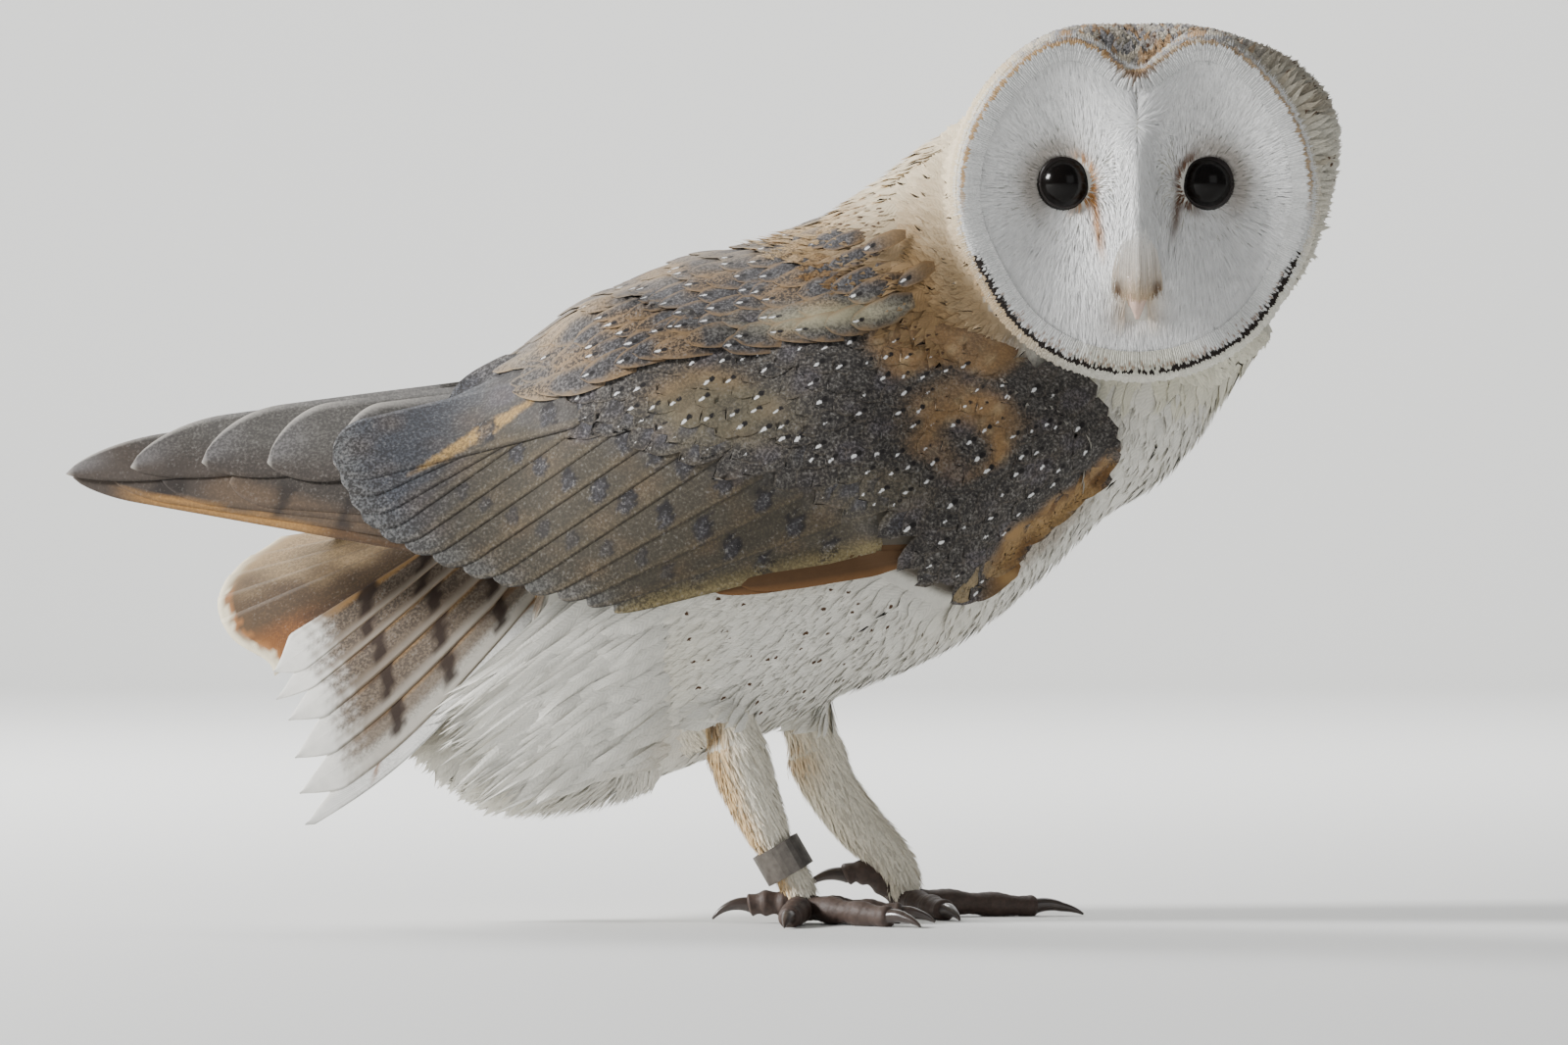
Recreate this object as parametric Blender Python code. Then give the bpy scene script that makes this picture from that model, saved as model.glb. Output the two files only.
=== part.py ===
"""Barn owl, life size, standing on both feet with its head turned to look past its right wing.

The owl's body points along +X, its right side faces -Y, and it stands on the plane Z = 0.
Trunk and neck are one loft of upright sections, parted by a thin slanted cut. The head is a
profile turned about the axis that it looks along, dished at the front into the facial disc.
Each wing and the tail are shells whose outlines are drawn from the side and whose depth is a
function of the place on them. Legs, toes, claws and bill are round sections along a path.
"""

import bpy
import bmesh
import numpy as np

MM = 0.001
GAP = 0.3  # clearance between neighbouring solids, mm

# Body, in mm: (x, height) along the back and along the belly, (x, half width) in plan.
BACK_LINE = ((-76, 61), (-62, 68), (-50, 80), (-44, 100), (-39, 140), (-33, 166), (-21, 176.5), (-4, 184),
             (11, 187), (23, 190.5), (50, 207), (76, 227), (94, 235), (113, 226), (136, 193), (160, 167))
BELLY_LINE = ((-76, 59), (-70, 47), (-62, 37), (-50, 31.5), (-32, 32), (-13, 38), (11, 47), (39, 61),
              (76, 79), (94, 94), (113, 112), (127, 120.5), (137, 132), (147, 147), (160, 162))
BODY_HALF_WIDTHS = ((-76, 4), (-70, 13), (-58, 20), (-42, 26), (-25, 37), (-4, 43.5), (23, 47.5), (50, 46.5),
                    (76, 41.5), (94, 38), (127, 30), (145, 19), (160, 4))
UPPER_FULLNESS = ((-76, 0.0), (-35, 0.1), (23, 0.0), (76, -0.12), (160, 0.0))
BODY_SECTIONS, BODY_SIDES = 26, 20
NECK_FOOT = ((36, 201), (116, 113))  # slanted cut between trunk and neck, (x, height) at nape and breast

# Head, in mm: it looks along -Y. Angles are measured from straight up, towards +X.
HEAD_CENTRE = (119.6, 200.1)  # x and height of the axis of the facial disc
DISC_RADIUS, DISC_NOTCH, NOTCH_SPREAD = 48.0, 14.7, 17.0
DISC_CHEEK, CHEEK_PLACE, CHEEK_SPREAD = 1.6, 118.0, 18.0
SKULL_RADIUS, CROWN_DIP, CROWN_SPREAD = 52.3, 3.6, 20.0
NAPE_RUFF, RUFF_PLACE, RUFF_SPREAD = 8.0, 64.0, 24.0
CHIN_RISE = 4.5
RIM_Y, WIDEST_Y, BACK_Y = -44.0, -22.0, 27.0
HOLLOW_DEPTH, HOLLOW_PLACE, HOLLOW_SPREAD = 5.0, (22.0, -2.0), (15.0, 24.0)
RIDGE_HEIGHT, RIDGE_TOP, RIDGE_FOOT = 8.5, 20.0, -31.0
RIDGE_HALF_TOP, RIDGE_HALF_FOOT = 12.0, 7.0  # half widths of the ridge between the eyes and at the bill
RIDGE_FADE_FOOT, RIDGE_FADE_TOP, RIDGE_END = 9.0, 22.0, 16.0  # how far it takes to rise, and its end over RIDGE_TOP
HEAD_SIDES, DISC_STEPS, RUFF_STEPS, BACK_STEPS = 32, 8, 3, 5

EYE_SPACING, EYE_RISE, EYE_RADIUS, EYE_Y = 39.2, 3.5, 7.9, -37.0
EYE_STEPS, EYE_SIDES = 8, 14
# Bill, in mm: (y, height from the disc's centre, radius) from the face to the tip.
BILL_UPPER = ((-44.5, -17, 4.4), (-49, -23, 4.2), (-51, -29, 2.9), (-50, -34, 0.7))
BILL_LOWER = ((-38, -25, 3.6), (-43, -28.5, 3.2), (-45.5, -31.5, 1.2))
BILL_STEPS, BILL_SIDES = 7, 14

# Wing, in mm, right side: (x, height) along its upper and lower edges from the shoulder to the tip,
# and (x, distance from the middle plane) of each edge.
WING_UPPER = ((113, 132), (104, 144), (86, 154), (58, 163), (39, 166), (12, 164), (-10, 169),
              (-22, 173), (-34, 170), (-48, 159), (-59, 151.5), (-98, 149), (-137, 142), (-167, 132.5), (-176, 126))
WING_LOWER = ((113, 127), (102, 116), (84, 101), (74, 88), (58, 92), (39, 103), (2, 94),
              (-27, 86), (-48, 92), (-86, 104), (-133, 114), (-167, 121.5), (-176, 125.5))
UPPER_EDGE_Y = ((-176, 7), (-98, 4), (-60, 4), (-46, 9), (-33, 20), (-4, 37), (23, 42), (58, 42), (104, 38), (113, 35))
LOWER_EDGE_Y = ((-176, 9), (-133, 21), (-86, 33), (-27, 44), (12, 49), (58, 49), (104, 39), (113, 35))
WING_BULGE = ((-176, 0.5), (-98, 5), (-60, 9), (-30, 12), (12, 12), (58, 10), (104, 4), (113, 0.5))
WING_THICKNESS = ((-176, 1.2), (-98, 2.4), (-56, 4), (-30, 13), (58, 16), (104, 12), (113, 3))
HAND_CUT, HAND_SLANT = -58.0, 0.45  # cut between wing and flight feathers of the hand, x at z = 120 mm
EDGE_THICKNESS = 1.2
WING_STEPS, WING_CHORD_STEPS = 24, 8

# Tail fan, in mm: twelve feathers, from the far outermost to the near outermost.
TAIL_FEATHERS = 12
TAIL_ROOT = ((-38, 15, 103), (-37, 0, 104), (-38, -15, 93))
TAIL_TIPS = ((-119, 35, 107), (-131, 28, 98), (-135.5, 18, 88), (-131, 8, 78), (-119.5, 0, 70.5),
             (-117.5, -6, 61), (-114, -12, 55.5), (-112, -18, 45.5), (-110.5, -24, 36), (-108.5, -30, 26.5))
TAIL_THICKNESS, TAIL_SCALLOP, TAIL_BOW = 2.2, 0.085, 5.0
RUMP = ((-26, 0, 141, 24), (-42, 0, 126, 18), (-58, 0, 113, 11), (-74, 0, 103, 4))  # (x, y, z, radius)

# Legs, in mm: (x, y, z, radius) down each leg, to the palm on the floor.
THIGH_RIGHT = ((8, -16, 86, 12), (7.5, -20, 63, 10.4), (9.3, -22, 50.2, 9.6))
THIGH_LEFT = ((27, 15, 84, 12), (29, 18.5, 60, 10.6), (31.5, 20, 47.3, 9.6))
TARSUS_RIGHT = ((9.6, -22, 47.6, 9.4), (13.4, -22, 37.7, 8.8), (18.4, -22, 26.0, 7.2),
                (21.2, -22, 20.5, 5.9), (26.6, -22, 11.2, 5.9))
TARSUS_LEFT = ((32.3, 20, 45.6, 9.2), (35.4, 20, 37.7, 8.6), (43.4, 20, 26.7, 8.2),
               (51.0, 20, 18.8, 7.4), (55.3, 20, 12.8, 6.8))
PALM_RADIUS, PALM_HEIGHT, PALM_AHEAD = 8.0, 8.6, 1.6
LEG_SIDES = 12

# Toes: (name, heading in degrees from +X towards +Y, length from the palm's middle, rise, claw chord)
TOES_RIGHT = (("hallux", 176, 15.0, 2.4, 12.0), ("inner_toe", -6, 28.0, 0.0, 11.0),
              ("middle_toe", -44, 34.0, 0.0, 13.0), ("outer_toe", -98, 26.6, 0.0, 11.0))
TOES_LEFT = (("hallux", 183, 17.0, 9.5, 14.0), ("inner_toe", -66, 28.0, 0.0, 11.0),
             ("middle_toe", 4, 38.0, 0.0, 15.0), ("outer_toe", 80, 27.0, 0.0, 11.0))
TOE_START, TOE_RADIUS, TOE_TIP_RADIUS, TOE_STEPS, TOE_SIDES = 6.5, 3.7, 3.0, 7, 8
TOE_SINK, TOE_KNUCKLES, KNUCKLE_SWELL, TOE_FALL = 0.86, 3, 0.35, 1.4
CLAW_RADIUS, CLAW_TIP_RADIUS, CLAW_STEPS, CLAW_SIDES = 2.2, 0.35, 8, 6
CLAW_TURN, CLAW_LIFT, CLAW_CLEARANCE = 72.0, 18.0, 0.15  # arc and first rise in degrees, tip over the floor

RING_BORE, RING_WALL, RING_WIDTH, RING_HEIGHT, RING_SIDES = 6.45, 0.6, 9.0, 17.6, 28


def smooth(points, at):
    """Heights of a curve through (place, value) points, with the slope at each point taken from
    its two neighbours, so the line bends without corners."""
    place, value = np.array(points, float).T
    order = np.argsort(place)
    place, value = place[order], value[order]
    slope = np.gradient(value, place)
    at = np.clip(at, place[0], place[-1])
    i = np.clip(np.searchsorted(place, at) - 1, 0, len(place) - 2)
    span = place[i + 1] - place[i]
    t = (at - place[i]) / span
    return (
        (2 * t**3 - 3 * t**2 + 1) * value[i]
        + (t**3 - 2 * t**2 + t) * span * slope[i]
        + (3 * t**2 - 2 * t**3) * value[i + 1]
        + (t**3 - t**2) * span * slope[i + 1]
    )


def along(points, at):
    """Rows of numbers read at a share 0..1 of the way along a smooth line through given rows."""
    rows = np.array(points, float)
    steps = np.linspace(0, 1, len(rows))
    return np.stack([smooth(np.stack([steps, column], 1), at) for column in rows.T], -1)


def material(name, colour, roughness, metallic=0.0):
    made = bpy.data.materials.new(name)
    made.use_nodes = True
    shader = made.node_tree.nodes["Principled BSDF"]
    shader.inputs["Base Color"].default_value = (*colour, 1.0)
    shader.inputs["Roughness"].default_value = roughness
    shader.inputs["Metallic"].default_value = metallic
    return made


def solid(name, rings, finish, sheet=False):
    """Object from a stack of rings, (rings, points, xyz) in mm. Each end is closed by a fan or, on
    a sheet whose rings run out along one face and back along the other, by a strip."""
    rings = np.asarray(rings, float)
    count, sides = rings.shape[:2]
    points = rings.reshape(-1, 3)
    ring, side = np.meshgrid(np.arange(count - 1), np.arange(sides), indexing="ij")
    after = (side + 1) % sides
    walls = np.stack([ring * sides + side, ring * sides + after,
                      (ring + 1) * sides + after, (ring + 1) * sides + side], -1)
    top = (count - 1) * sides
    if sheet:
        ends = [(base + a, base + a + 1, base + sides - 2 - a, base + sides - 1 - a)
                for base in (0, top) for a in range(sides // 2 - 1)]
    else:
        middles = [rings[0].mean(0), rings[-1].mean(0)]
        ends = [(len(points) + end, base + a, base + (a + 1) % sides)
                for end, base in enumerate((0, top)) for a in range(sides)]
        points = np.concatenate([points, middles])
    mesh = bpy.data.meshes.new(name)
    mesh.from_pydata((points * MM).tolist(), [], walls.reshape(-1, 4).tolist() + ends)
    work = bmesh.new()
    work.from_mesh(mesh)
    bmesh.ops.remove_doubles(work, verts=work.verts, dist=0.00001)
    bmesh.ops.triangulate(work, faces=work.faces)
    bmesh.ops.recalc_face_normals(work, faces=work.faces)
    work.to_mesh(mesh)
    work.free()
    mesh.shade_smooth()
    mesh.materials.append(finish)
    made = bpy.data.objects.new(name, mesh)
    bpy.context.scene.collection.objects.link(made)
    return made


def cut(piece, cutter):
    """Takes the cutter's shape out of the piece. The cutter itself stays out of the model."""
    cutter.hide_render = True
    cutter.display_type = "WIRE"
    trim = piece.modifiers.new(cutter.name, "BOOLEAN")
    trim.operation = "DIFFERENCE"
    trim.object = cutter
    trim.solver = "EXACT"


def tube_rings(path, radii, sides, floor=None, crosswise=(0.02, 0.03, 1.0)):
    """Round sections square to a path, in mm, counted from a direction that the path never takes.
    With a floor, what would pass below it lies flat on it."""
    path = np.asarray(path, float)
    radii = np.asarray(radii, float)
    ahead = np.gradient(path, axis=0)
    ahead /= np.linalg.norm(ahead, axis=1, keepdims=True)
    flank = np.cross(ahead, crosswise)
    flank /= np.linalg.norm(flank, axis=1, keepdims=True)
    crown = np.cross(flank, ahead)
    turn = np.linspace(0, 2 * np.pi, sides, endpoint=False) + np.pi / sides
    rings = path[:, None] + radii[:, None, None] * (
        np.cos(turn)[:, None] * flank[:, None] + np.sin(turn)[:, None] * crown[:, None]
    )
    if floor is not None:
        rings[..., 2] = np.maximum(rings[..., 2], floor)
    return rings


# ---- Body: trunk and neck -------------------------------------------------------------------

def body_rings(grow=0.0):
    """Upright sections from vent to throat. Each is an ellipse between belly line and back line,
    as wide as the plan says, and fuller above or below the middle by the fullness there."""
    share = (1 - np.cos(np.linspace(0, np.pi, BODY_SECTIONS))) / 2
    x = BACK_LINE[0][0] + (BACK_LINE[-1][0] - BACK_LINE[0][0]) * share
    top, bottom = smooth(BACK_LINE, x) + grow, smooth(BELLY_LINE, x) - grow
    half = smooth(BODY_HALF_WIDTHS, x) + grow
    fuller = smooth(UPPER_FULLNESS, x)
    turn = np.linspace(0, 2 * np.pi, BODY_SIDES, endpoint=False)
    lift = np.sin(turn)
    y = half[:, None] * np.cos(turn) * (1 + fuller[:, None] * lift)
    z = (top + bottom)[:, None] / 2 + (top - bottom)[:, None] / 2 * lift
    x = x + grow * (2 * share - 1)
    return np.stack([np.broadcast_to(x[:, None], y.shape), y, z], -1)


def half_space(name, side):
    """A wide block on one side of the slanted neck cut, which takes half the gap beyond it too."""
    (x0, z0), (x1, z1) = NECK_FOOT
    run = np.array([x1 - x0, 0, z1 - z0], float)
    run /= np.linalg.norm(run)
    away = np.array([-run[2], 0, run[0]]) * side
    middle = np.array([(x0 + x1) / 2, 0, (z0 + z1) / 2]) - away * GAP / 2
    corners = [middle + run * a + np.array([0, b, 0]) for a, b in ((-300, -90), (300, -90), (300, 90), (-300, 90))]
    return solid(name, [corners, np.array(corners) + away * 300], None)


def make_body(plumage):
    trunk = solid("trunk", body_rings(), plumage)
    cut(trunk, half_space("head_side_of_neck_cut", 1))
    cut(trunk, solid("head_clearance_of_trunk", head_rings(GAP), None))
    neck = solid("neck", body_rings(), plumage)
    cut(neck, half_space("trunk_side_of_neck_cut", -1))
    cut(neck, solid("head_and_clearance", head_rings(GAP), None))
    return trunk, neck


# ---- Head, eyes and bill --------------------------------------------------------------------

def bump(angle, place, spread):
    away = (angle - place + 180) % 360 - 180
    return np.exp(-((away / spread) ** 2))


def disc_edge(angle):
    """Radius of the facial disc's rim: a circle, notched at the brow and drawn in at the cheeks."""
    return (DISC_RADIUS - DISC_NOTCH * bump(angle, 0, NOTCH_SPREAD)
            - DISC_CHEEK * (bump(angle, CHEEK_PLACE, CHEEK_SPREAD) + bump(angle, -CHEEK_PLACE, CHEEK_SPREAD)))


def head_edge(angle):
    """Radius of the head's outline from the front: flat on the crown, with the nape's feathers
    standing out on the side that is turned away from the body."""
    chin = CHIN_RISE * bump(angle, 180, 60)
    return (SKULL_RADIUS - CROWN_DIP * bump(angle, 0, CROWN_SPREAD)
            + NAPE_RUFF * bump(angle, RUFF_PLACE, RUFF_SPREAD) - chin)


def face_relief(x, z):
    """How far the face stands in front of the rim: two hollows round the eyes and, between them,
    a ridge that narrows towards the bill."""
    place_x, place_z = HOLLOW_PLACE
    wide, tall = HOLLOW_SPREAD
    hollow = np.exp(-(((np.abs(x) - place_x) / wide) ** 2) - ((z - place_z) / tall) ** 2)
    down = np.clip((RIDGE_TOP - z) / (RIDGE_TOP - RIDGE_FOOT), 0, 1)
    half = RIDGE_HALF_TOP + (RIDGE_HALF_FOOT - RIDGE_HALF_TOP) * down
    rise = np.clip((z - RIDGE_FOOT) / RIDGE_FADE_FOOT, 0, 1)
    swell = rise * np.clip((RIDGE_TOP + RIDGE_END - z) / RIDGE_FADE_TOP, 0, 1)
    return RIDGE_HEIGHT * np.exp(-((x / half) ** 2)) * swell - HOLLOW_DEPTH * hollow


def head_rings(grow=0.0):
    """Rings from the middle of the face out over the disc and its rim, round the ruff, and back
    to the pole at the nape."""
    angle = np.linspace(0, 360, HEAD_SIDES, endpoint=False)
    across, up = np.sin(np.radians(angle)), np.cos(np.radians(angle))
    disc, edge = disc_edge(angle) + grow, head_edge(angle) + grow
    rings = []
    for share in np.linspace(0.04, 1, DISC_STEPS):
        r = disc * share
        y = RIM_Y - grow - face_relief(r * across, r * up) * (1 - share**6)
        rings.append(np.stack([r * across, y, r * up], -1))
    for turn in np.linspace(0, np.pi / 2, RUFF_STEPS + 1)[1:]:
        r = disc + (edge - disc) * np.sin(turn)
        y = np.full_like(r, RIM_Y - grow + (WIDEST_Y - RIM_Y + grow) * (1 - np.cos(turn)))
        rings.append(np.stack([r * across, y, r * up], -1))
    for turn in np.linspace(0, np.pi / 2, BACK_STEPS + 1)[1:]:
        r = edge * max(np.cos(turn), 0.04)
        y = np.full_like(r, WIDEST_Y + (BACK_Y + grow - WIDEST_Y) * np.sin(turn))
        rings.append(np.stack([r * across, y, r * up], -1))
    return np.array(rings) + (HEAD_CENTRE[0], 0, HEAD_CENTRE[1])


def ball_rings(centre, radius):
    """A ball whose poles lie along Y, with a very small flat at each pole."""
    down = np.linspace(0.06, np.pi - 0.06, EYE_STEPS)
    turn = np.linspace(0, 2 * np.pi, EYE_SIDES, endpoint=False)
    ring = np.stack([np.sin(down)[:, None] * np.cos(turn), np.cos(down)[:, None] + 0 * turn,
                     np.sin(down)[:, None] * np.sin(turn)], -1)
    return np.array(centre) + radius * ring


def bill_rings(rows, grow=0.0):
    """Round sections down the bill. A grown copy also reaches a little past both its ends."""
    rows = along(rows, np.linspace(0, 1, BILL_STEPS))
    path = np.stack([np.full(BILL_STEPS, HEAD_CENTRE[0]), rows[:, 0], HEAD_CENTRE[1] + rows[:, 1]], -1)
    rings = tube_rings(path, rows[:, 2] + grow, BILL_SIDES, crosswise=(1.0, 0.0, 0.0))
    for end, inner in ((0, 1), (-1, -2)):
        out = path[end] - path[inner]
        rings[end] += out / np.linalg.norm(out) * grow
    return rings


def make_head(plumage, glossy, horn):
    head = solid("head", head_rings(), plumage)
    for side, name in ((-1, "right"), (1, "left")):
        centre = (HEAD_CENTRE[0] + side * EYE_SPACING / 2, EYE_Y, HEAD_CENTRE[1] + EYE_RISE)
        solid("eye_" + name, ball_rings(centre, EYE_RADIUS), glossy)
        cut(head, solid(f"eye_{name}_socket", ball_rings(centre, EYE_RADIUS + GAP), None))
    solid("bill_upper", bill_rings(BILL_UPPER), horn)
    lower = solid("bill_lower", bill_rings(BILL_LOWER), horn)
    upper_space = solid("bill_upper_seat", bill_rings(BILL_UPPER, GAP), None)
    cut(lower, upper_space)
    cut(head, upper_space)
    cut(head, solid("bill_lower_seat", bill_rings(BILL_LOWER, GAP), None))


# ---- Wings ----------------------------------------------------------------------------------

def wing_rings(side, grow=0.0):
    """Chord sections from the shoulder to the tip. The outer face runs from the lower to the upper
    edge with a bulge between; the inner face is the same line moved in by the thickness."""
    first, last = WING_UPPER[0][0], WING_UPPER[-1][0]
    share = np.linspace(0, 1, WING_STEPS)
    x = first + (last - first) * (share + 0.12 * np.sin(np.pi * share) * (share - 0.5))
    v = (1 - np.cos(np.linspace(0, np.pi, WING_CHORD_STEPS))) / 2
    low, high = smooth(WING_LOWER, x)[:, None] - grow, smooth(WING_UPPER, x)[:, None] + grow
    z = low + (high - low) * v
    y = (smooth(LOWER_EDGE_Y, x)[:, None] * (1 - v) + smooth(UPPER_EDGE_Y, x)[:, None] * v
         + smooth(WING_BULGE, x)[:, None] * 4 * v * (1 - v) + grow)
    thick = EDGE_THICKNESS + (smooth(WING_THICKNESS, x)[:, None] - EDGE_THICKNESS) * np.sqrt(4 * v * (1 - v)) + 2 * grow
    outer = np.stack([x[:, None] + 0 * v, y, z], -1)
    inner = np.stack([x[:, None] + 0 * v, y - thick, z], -1)[:, ::-1]
    return np.concatenate([outer, inner], 1) * (1, side, 1)


def hand_block(name, side):
    """A block on one side of the slanted cut between the wing and the long feathers of its hand."""
    height = np.array([0, 240])
    x = HAND_CUT + HAND_SLANT * (height - 120) - side * GAP / 2
    far = side * 300
    corners = [(x[0], -90, 0), (x[1], -90, 240), (x[1] + far, -90, 240), (x[0] + far, -90, 0)]
    return solid(name, [corners, np.array(corners) + (0, 180, 0)], None)


def make_wing(side, name, plumage):
    wing = solid("wing_" + name, wing_rings(side), plumage, sheet=True)
    hand = solid("primaries_" + name, wing_rings(side), plumage, sheet=True)
    cut(wing, hand_block(f"hand_space_{name}", -1))
    cut(hand, hand_block(f"arm_space_{name}", 1))
    for piece in (wing, hand):
        cut(piece, solid(f"body_and_clearance_{piece.name}", body_rings(GAP), None))


# ---- Tail -----------------------------------------------------------------------------------

def tail_rings(grow=0.0):
    """A fan of feathers from the rump: two columns a feather, the odd ones at the pointed tips."""
    columns = 2 * TAIL_FEATHERS + 1
    across = np.linspace(0, 1, columns)
    root, tip = along(TAIL_ROOT, across), along(TAIL_TIPS, across)
    notch = TAIL_SCALLOP * np.clip(1.8 * across - 0.6, 0.1, 1) * (np.arange(columns) % 2 == 0)
    tip = tip + (root - tip) * notch[:, None]
    down = np.array([0, 0.25, 0.5, 0.75, 0.92, 1.0])
    bow = TAIL_BOW * np.sin(np.pi * down**1.5)[:, None, None] * (across**4)[:, None]
    sheet = root + (tip - root) * down[:, None, None] + bow * (0.75, 0, -0.65)
    flank = np.gradient(sheet, axis=1)
    ahead = np.gradient(sheet, axis=0)
    above = np.cross(flank, ahead)
    above /= np.linalg.norm(above, axis=2, keepdims=True)
    half = TAIL_THICKNESS / 2 * (1 - 0.6 * down**3)[:, None, None] + grow
    return np.concatenate([sheet + above * half, (sheet - above * half)[:, ::-1]], 1)


def make_tail(plumage):
    tail = solid("tail", tail_rings(), plumage, sheet=True)
    cut(tail, solid("body_and_clearance_tail", body_rings(GAP), None))


def make_rump(plumage):
    """The lower back and the coverts that lie over the tail's root, between the folded wings."""
    rows = along(RUMP, np.linspace(0, 1, 9))
    rump = solid("rump", tube_rings(rows[:, :3], rows[:, 3], LEG_SIDES), plumage)
    cut(rump, solid("body_and_clearance_rump", body_rings(GAP), None))
    cut(rump, solid("tail_and_clearance_rump", tail_rings(GAP), None, sheet=True))
    for side, name in ((-1, "right"), (1, "left")):
        cut(rump, solid("wing_and_clearance_" + name, wing_rings(side, GAP), None, sheet=True))


# ---- Legs and feet --------------------------------------------------------------------------

def make_thigh(name, line, plumage):
    steps = np.linspace(0, 1, 8)
    rows = along(line, steps)
    thigh = solid("thigh_" + name, tube_rings(rows[:, :3], rows[:, 3], LEG_SIDES), plumage)
    cut(thigh, solid(f"body_and_clearance_thigh_{name}", body_rings(GAP), None))


def tarsus_rings(line, grow=0.0):
    """The feathered shank, then level rings that spread into the palm and end on the floor."""
    rows = along(line, np.linspace(0, 1, 11))
    shank = tube_rings(rows[:, :3], rows[:, 3] + grow, LEG_SIDES)
    ankle = rows[-1]
    turn = np.linspace(0, 2 * np.pi, LEG_SIDES, endpoint=False)
    ring0 = shank[-1] - shank[-1].mean(0)
    start = np.arctan2(ring0[0, 1], ring0[0, 0])
    spin = np.sign(np.cross(ring0[0, :2], ring0[1, :2]))
    palm = []
    for share in (0.55, 0.8, 1.0):
        rise = (PALM_HEIGHT + grow) * np.cos(np.pi / 2 * share)
        r = PALM_RADIUS * (1 - 0.28 * max(0.0, share - 0.6) / 0.4) + grow
        level = np.stack([ankle[0] + PALM_AHEAD + r * np.cos(start + spin * turn),
                          ankle[1] + r * np.sin(start + spin * turn), 0 * turn + rise + grow], -1)
        palm.append(level)
    palm[-1][:, 2] = -grow
    return np.concatenate([shank, palm])


def toe_path(palm, heading, length, rise):
    """A toe's middle line: out of the palm, level along the floor, or arched over it by the rise.
    Its pads are pressed a little flat on the floor, and its joints swell like a wave."""
    share = np.linspace(TOE_START / length, 1, TOE_STEPS)
    way = np.array([np.cos(np.radians(heading)), np.sin(np.radians(heading))])
    flat = np.array(palm)[:2] + way * (length * share)[:, None]
    radii = TOE_RADIUS + (TOE_TIP_RADIUS - TOE_RADIUS) * share
    knuckles = KNUCKLE_SWELL * np.cos(share * TOE_KNUCKLES * 2 * np.pi)
    arch = rise * np.sin(share * np.pi * 0.62)
    z = radii * TOE_SINK + arch + TOE_FALL * (1 - share)
    return np.concatenate([flat, z[:, None]], 1), radii + knuckles


def claw_rings(start, heading, chord):
    """A hooked claw: sections along an arc that leaves the toe rising and curves down to the floor,
    pressed less deep where the toe starts too low for the whole arc."""
    turn, lift = np.radians(CLAW_TURN), np.radians(CLAW_LIFT)
    bend = chord / (2 * np.sin(turn / 2))
    share = np.linspace(0, 1, CLAW_STEPS)
    angle = turn * share - lift
    out = bend * (np.sin(angle) + np.sin(lift))
    drop = bend * (np.cos(angle) - np.cos(lift))
    room = start[2] - CLAW_TIP_RADIUS - CLAW_CLEARANCE
    drop = np.where(drop < 0, drop * min(1.0, room / -drop[-1]), drop)
    way = np.array([np.cos(np.radians(heading)), np.sin(np.radians(heading))])
    path = np.stack([start[0] + way[0] * out, start[1] + way[1] * out, start[2] + drop], -1)
    radii = CLAW_RADIUS + (CLAW_TIP_RADIUS - CLAW_RADIUS) * share**1.3
    return tube_rings(path, radii, CLAW_SIDES, floor=CLAW_CLEARANCE)


def make_foot(name, line, toes, plumage, skin, horn):
    tarsus = solid("tarsus_" + name, tarsus_rings(line), plumage)
    palm_space = solid("palm_and_clearance_" + name, tarsus_rings(line, GAP), None)
    palm = (line[-1][0] + PALM_AHEAD, line[-1][1])
    taken = [palm_space]
    for toe_name, heading, length, rise, chord in toes:
        path, radii = toe_path(palm, heading, length, rise)
        toe = solid(f"{toe_name}_{name}", tube_rings(path, radii, TOE_SIDES, floor=0.0), skin)
        for room in taken:
            cut(toe, room)
        tip_way = (path[-1] - path[-2]) / np.linalg.norm(path[-1] - path[-2])
        claw = solid(f"{toe_name}_claw_{name}", claw_rings(path[-1] - tip_way, heading, chord), horn)
        longer = np.concatenate([path, [path[-1] + tip_way * GAP]])
        rings = tube_rings(longer, np.append(radii, radii[-1]) + GAP, TOE_SIDES, floor=-GAP)
        room = solid(f"{toe_name}_and_clearance_{name}", rings, None)
        cut(claw, room)
        taken.append(room)
    return tarsus


def make_leg_ring(metal):
    """A closed metal band round the right shank, square to it."""
    rows = along(TARSUS_RIGHT, np.linspace(0, 1, 81))
    middle = np.argmin(abs(rows[:, 2] - RING_HEIGHT))
    centre = rows[middle, :3]
    axis = rows[middle + 6, :3] - rows[middle - 6, :3]
    axis /= np.linalg.norm(axis)
    profile = ((RING_BORE, -0.5), (RING_BORE + RING_WALL, -0.5), (RING_BORE + RING_WALL, 0.5), (RING_BORE, 0.5))
    flank = np.array([0.0, 1.0, 0.0])
    crown = np.cross(flank, axis)
    turn = np.linspace(0, 2 * np.pi, RING_SIDES, endpoint=False)
    work = bmesh.new()
    loops = []
    for r, height in profile:
        spots = (centre + axis * height * RING_WIDTH
                 + r * (np.cos(turn)[:, None] * flank + np.sin(turn)[:, None] * crown)) * MM
        loops.append([work.verts.new(spot) for spot in spots])
    for k in range(len(loops)):
        a, b = loops[k], loops[(k + 1) % len(loops)]
        for i in range(RING_SIDES):
            j = (i + 1) % RING_SIDES
            work.faces.new((a[i], a[j], b[j], b[i]))
    bmesh.ops.recalc_face_normals(work, faces=work.faces)
    mesh = bpy.data.meshes.new("leg_ring")
    work.to_mesh(mesh)
    work.free()
    mesh.materials.append(metal)
    bpy.context.scene.collection.objects.link(bpy.data.objects.new("leg_ring", mesh))


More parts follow.
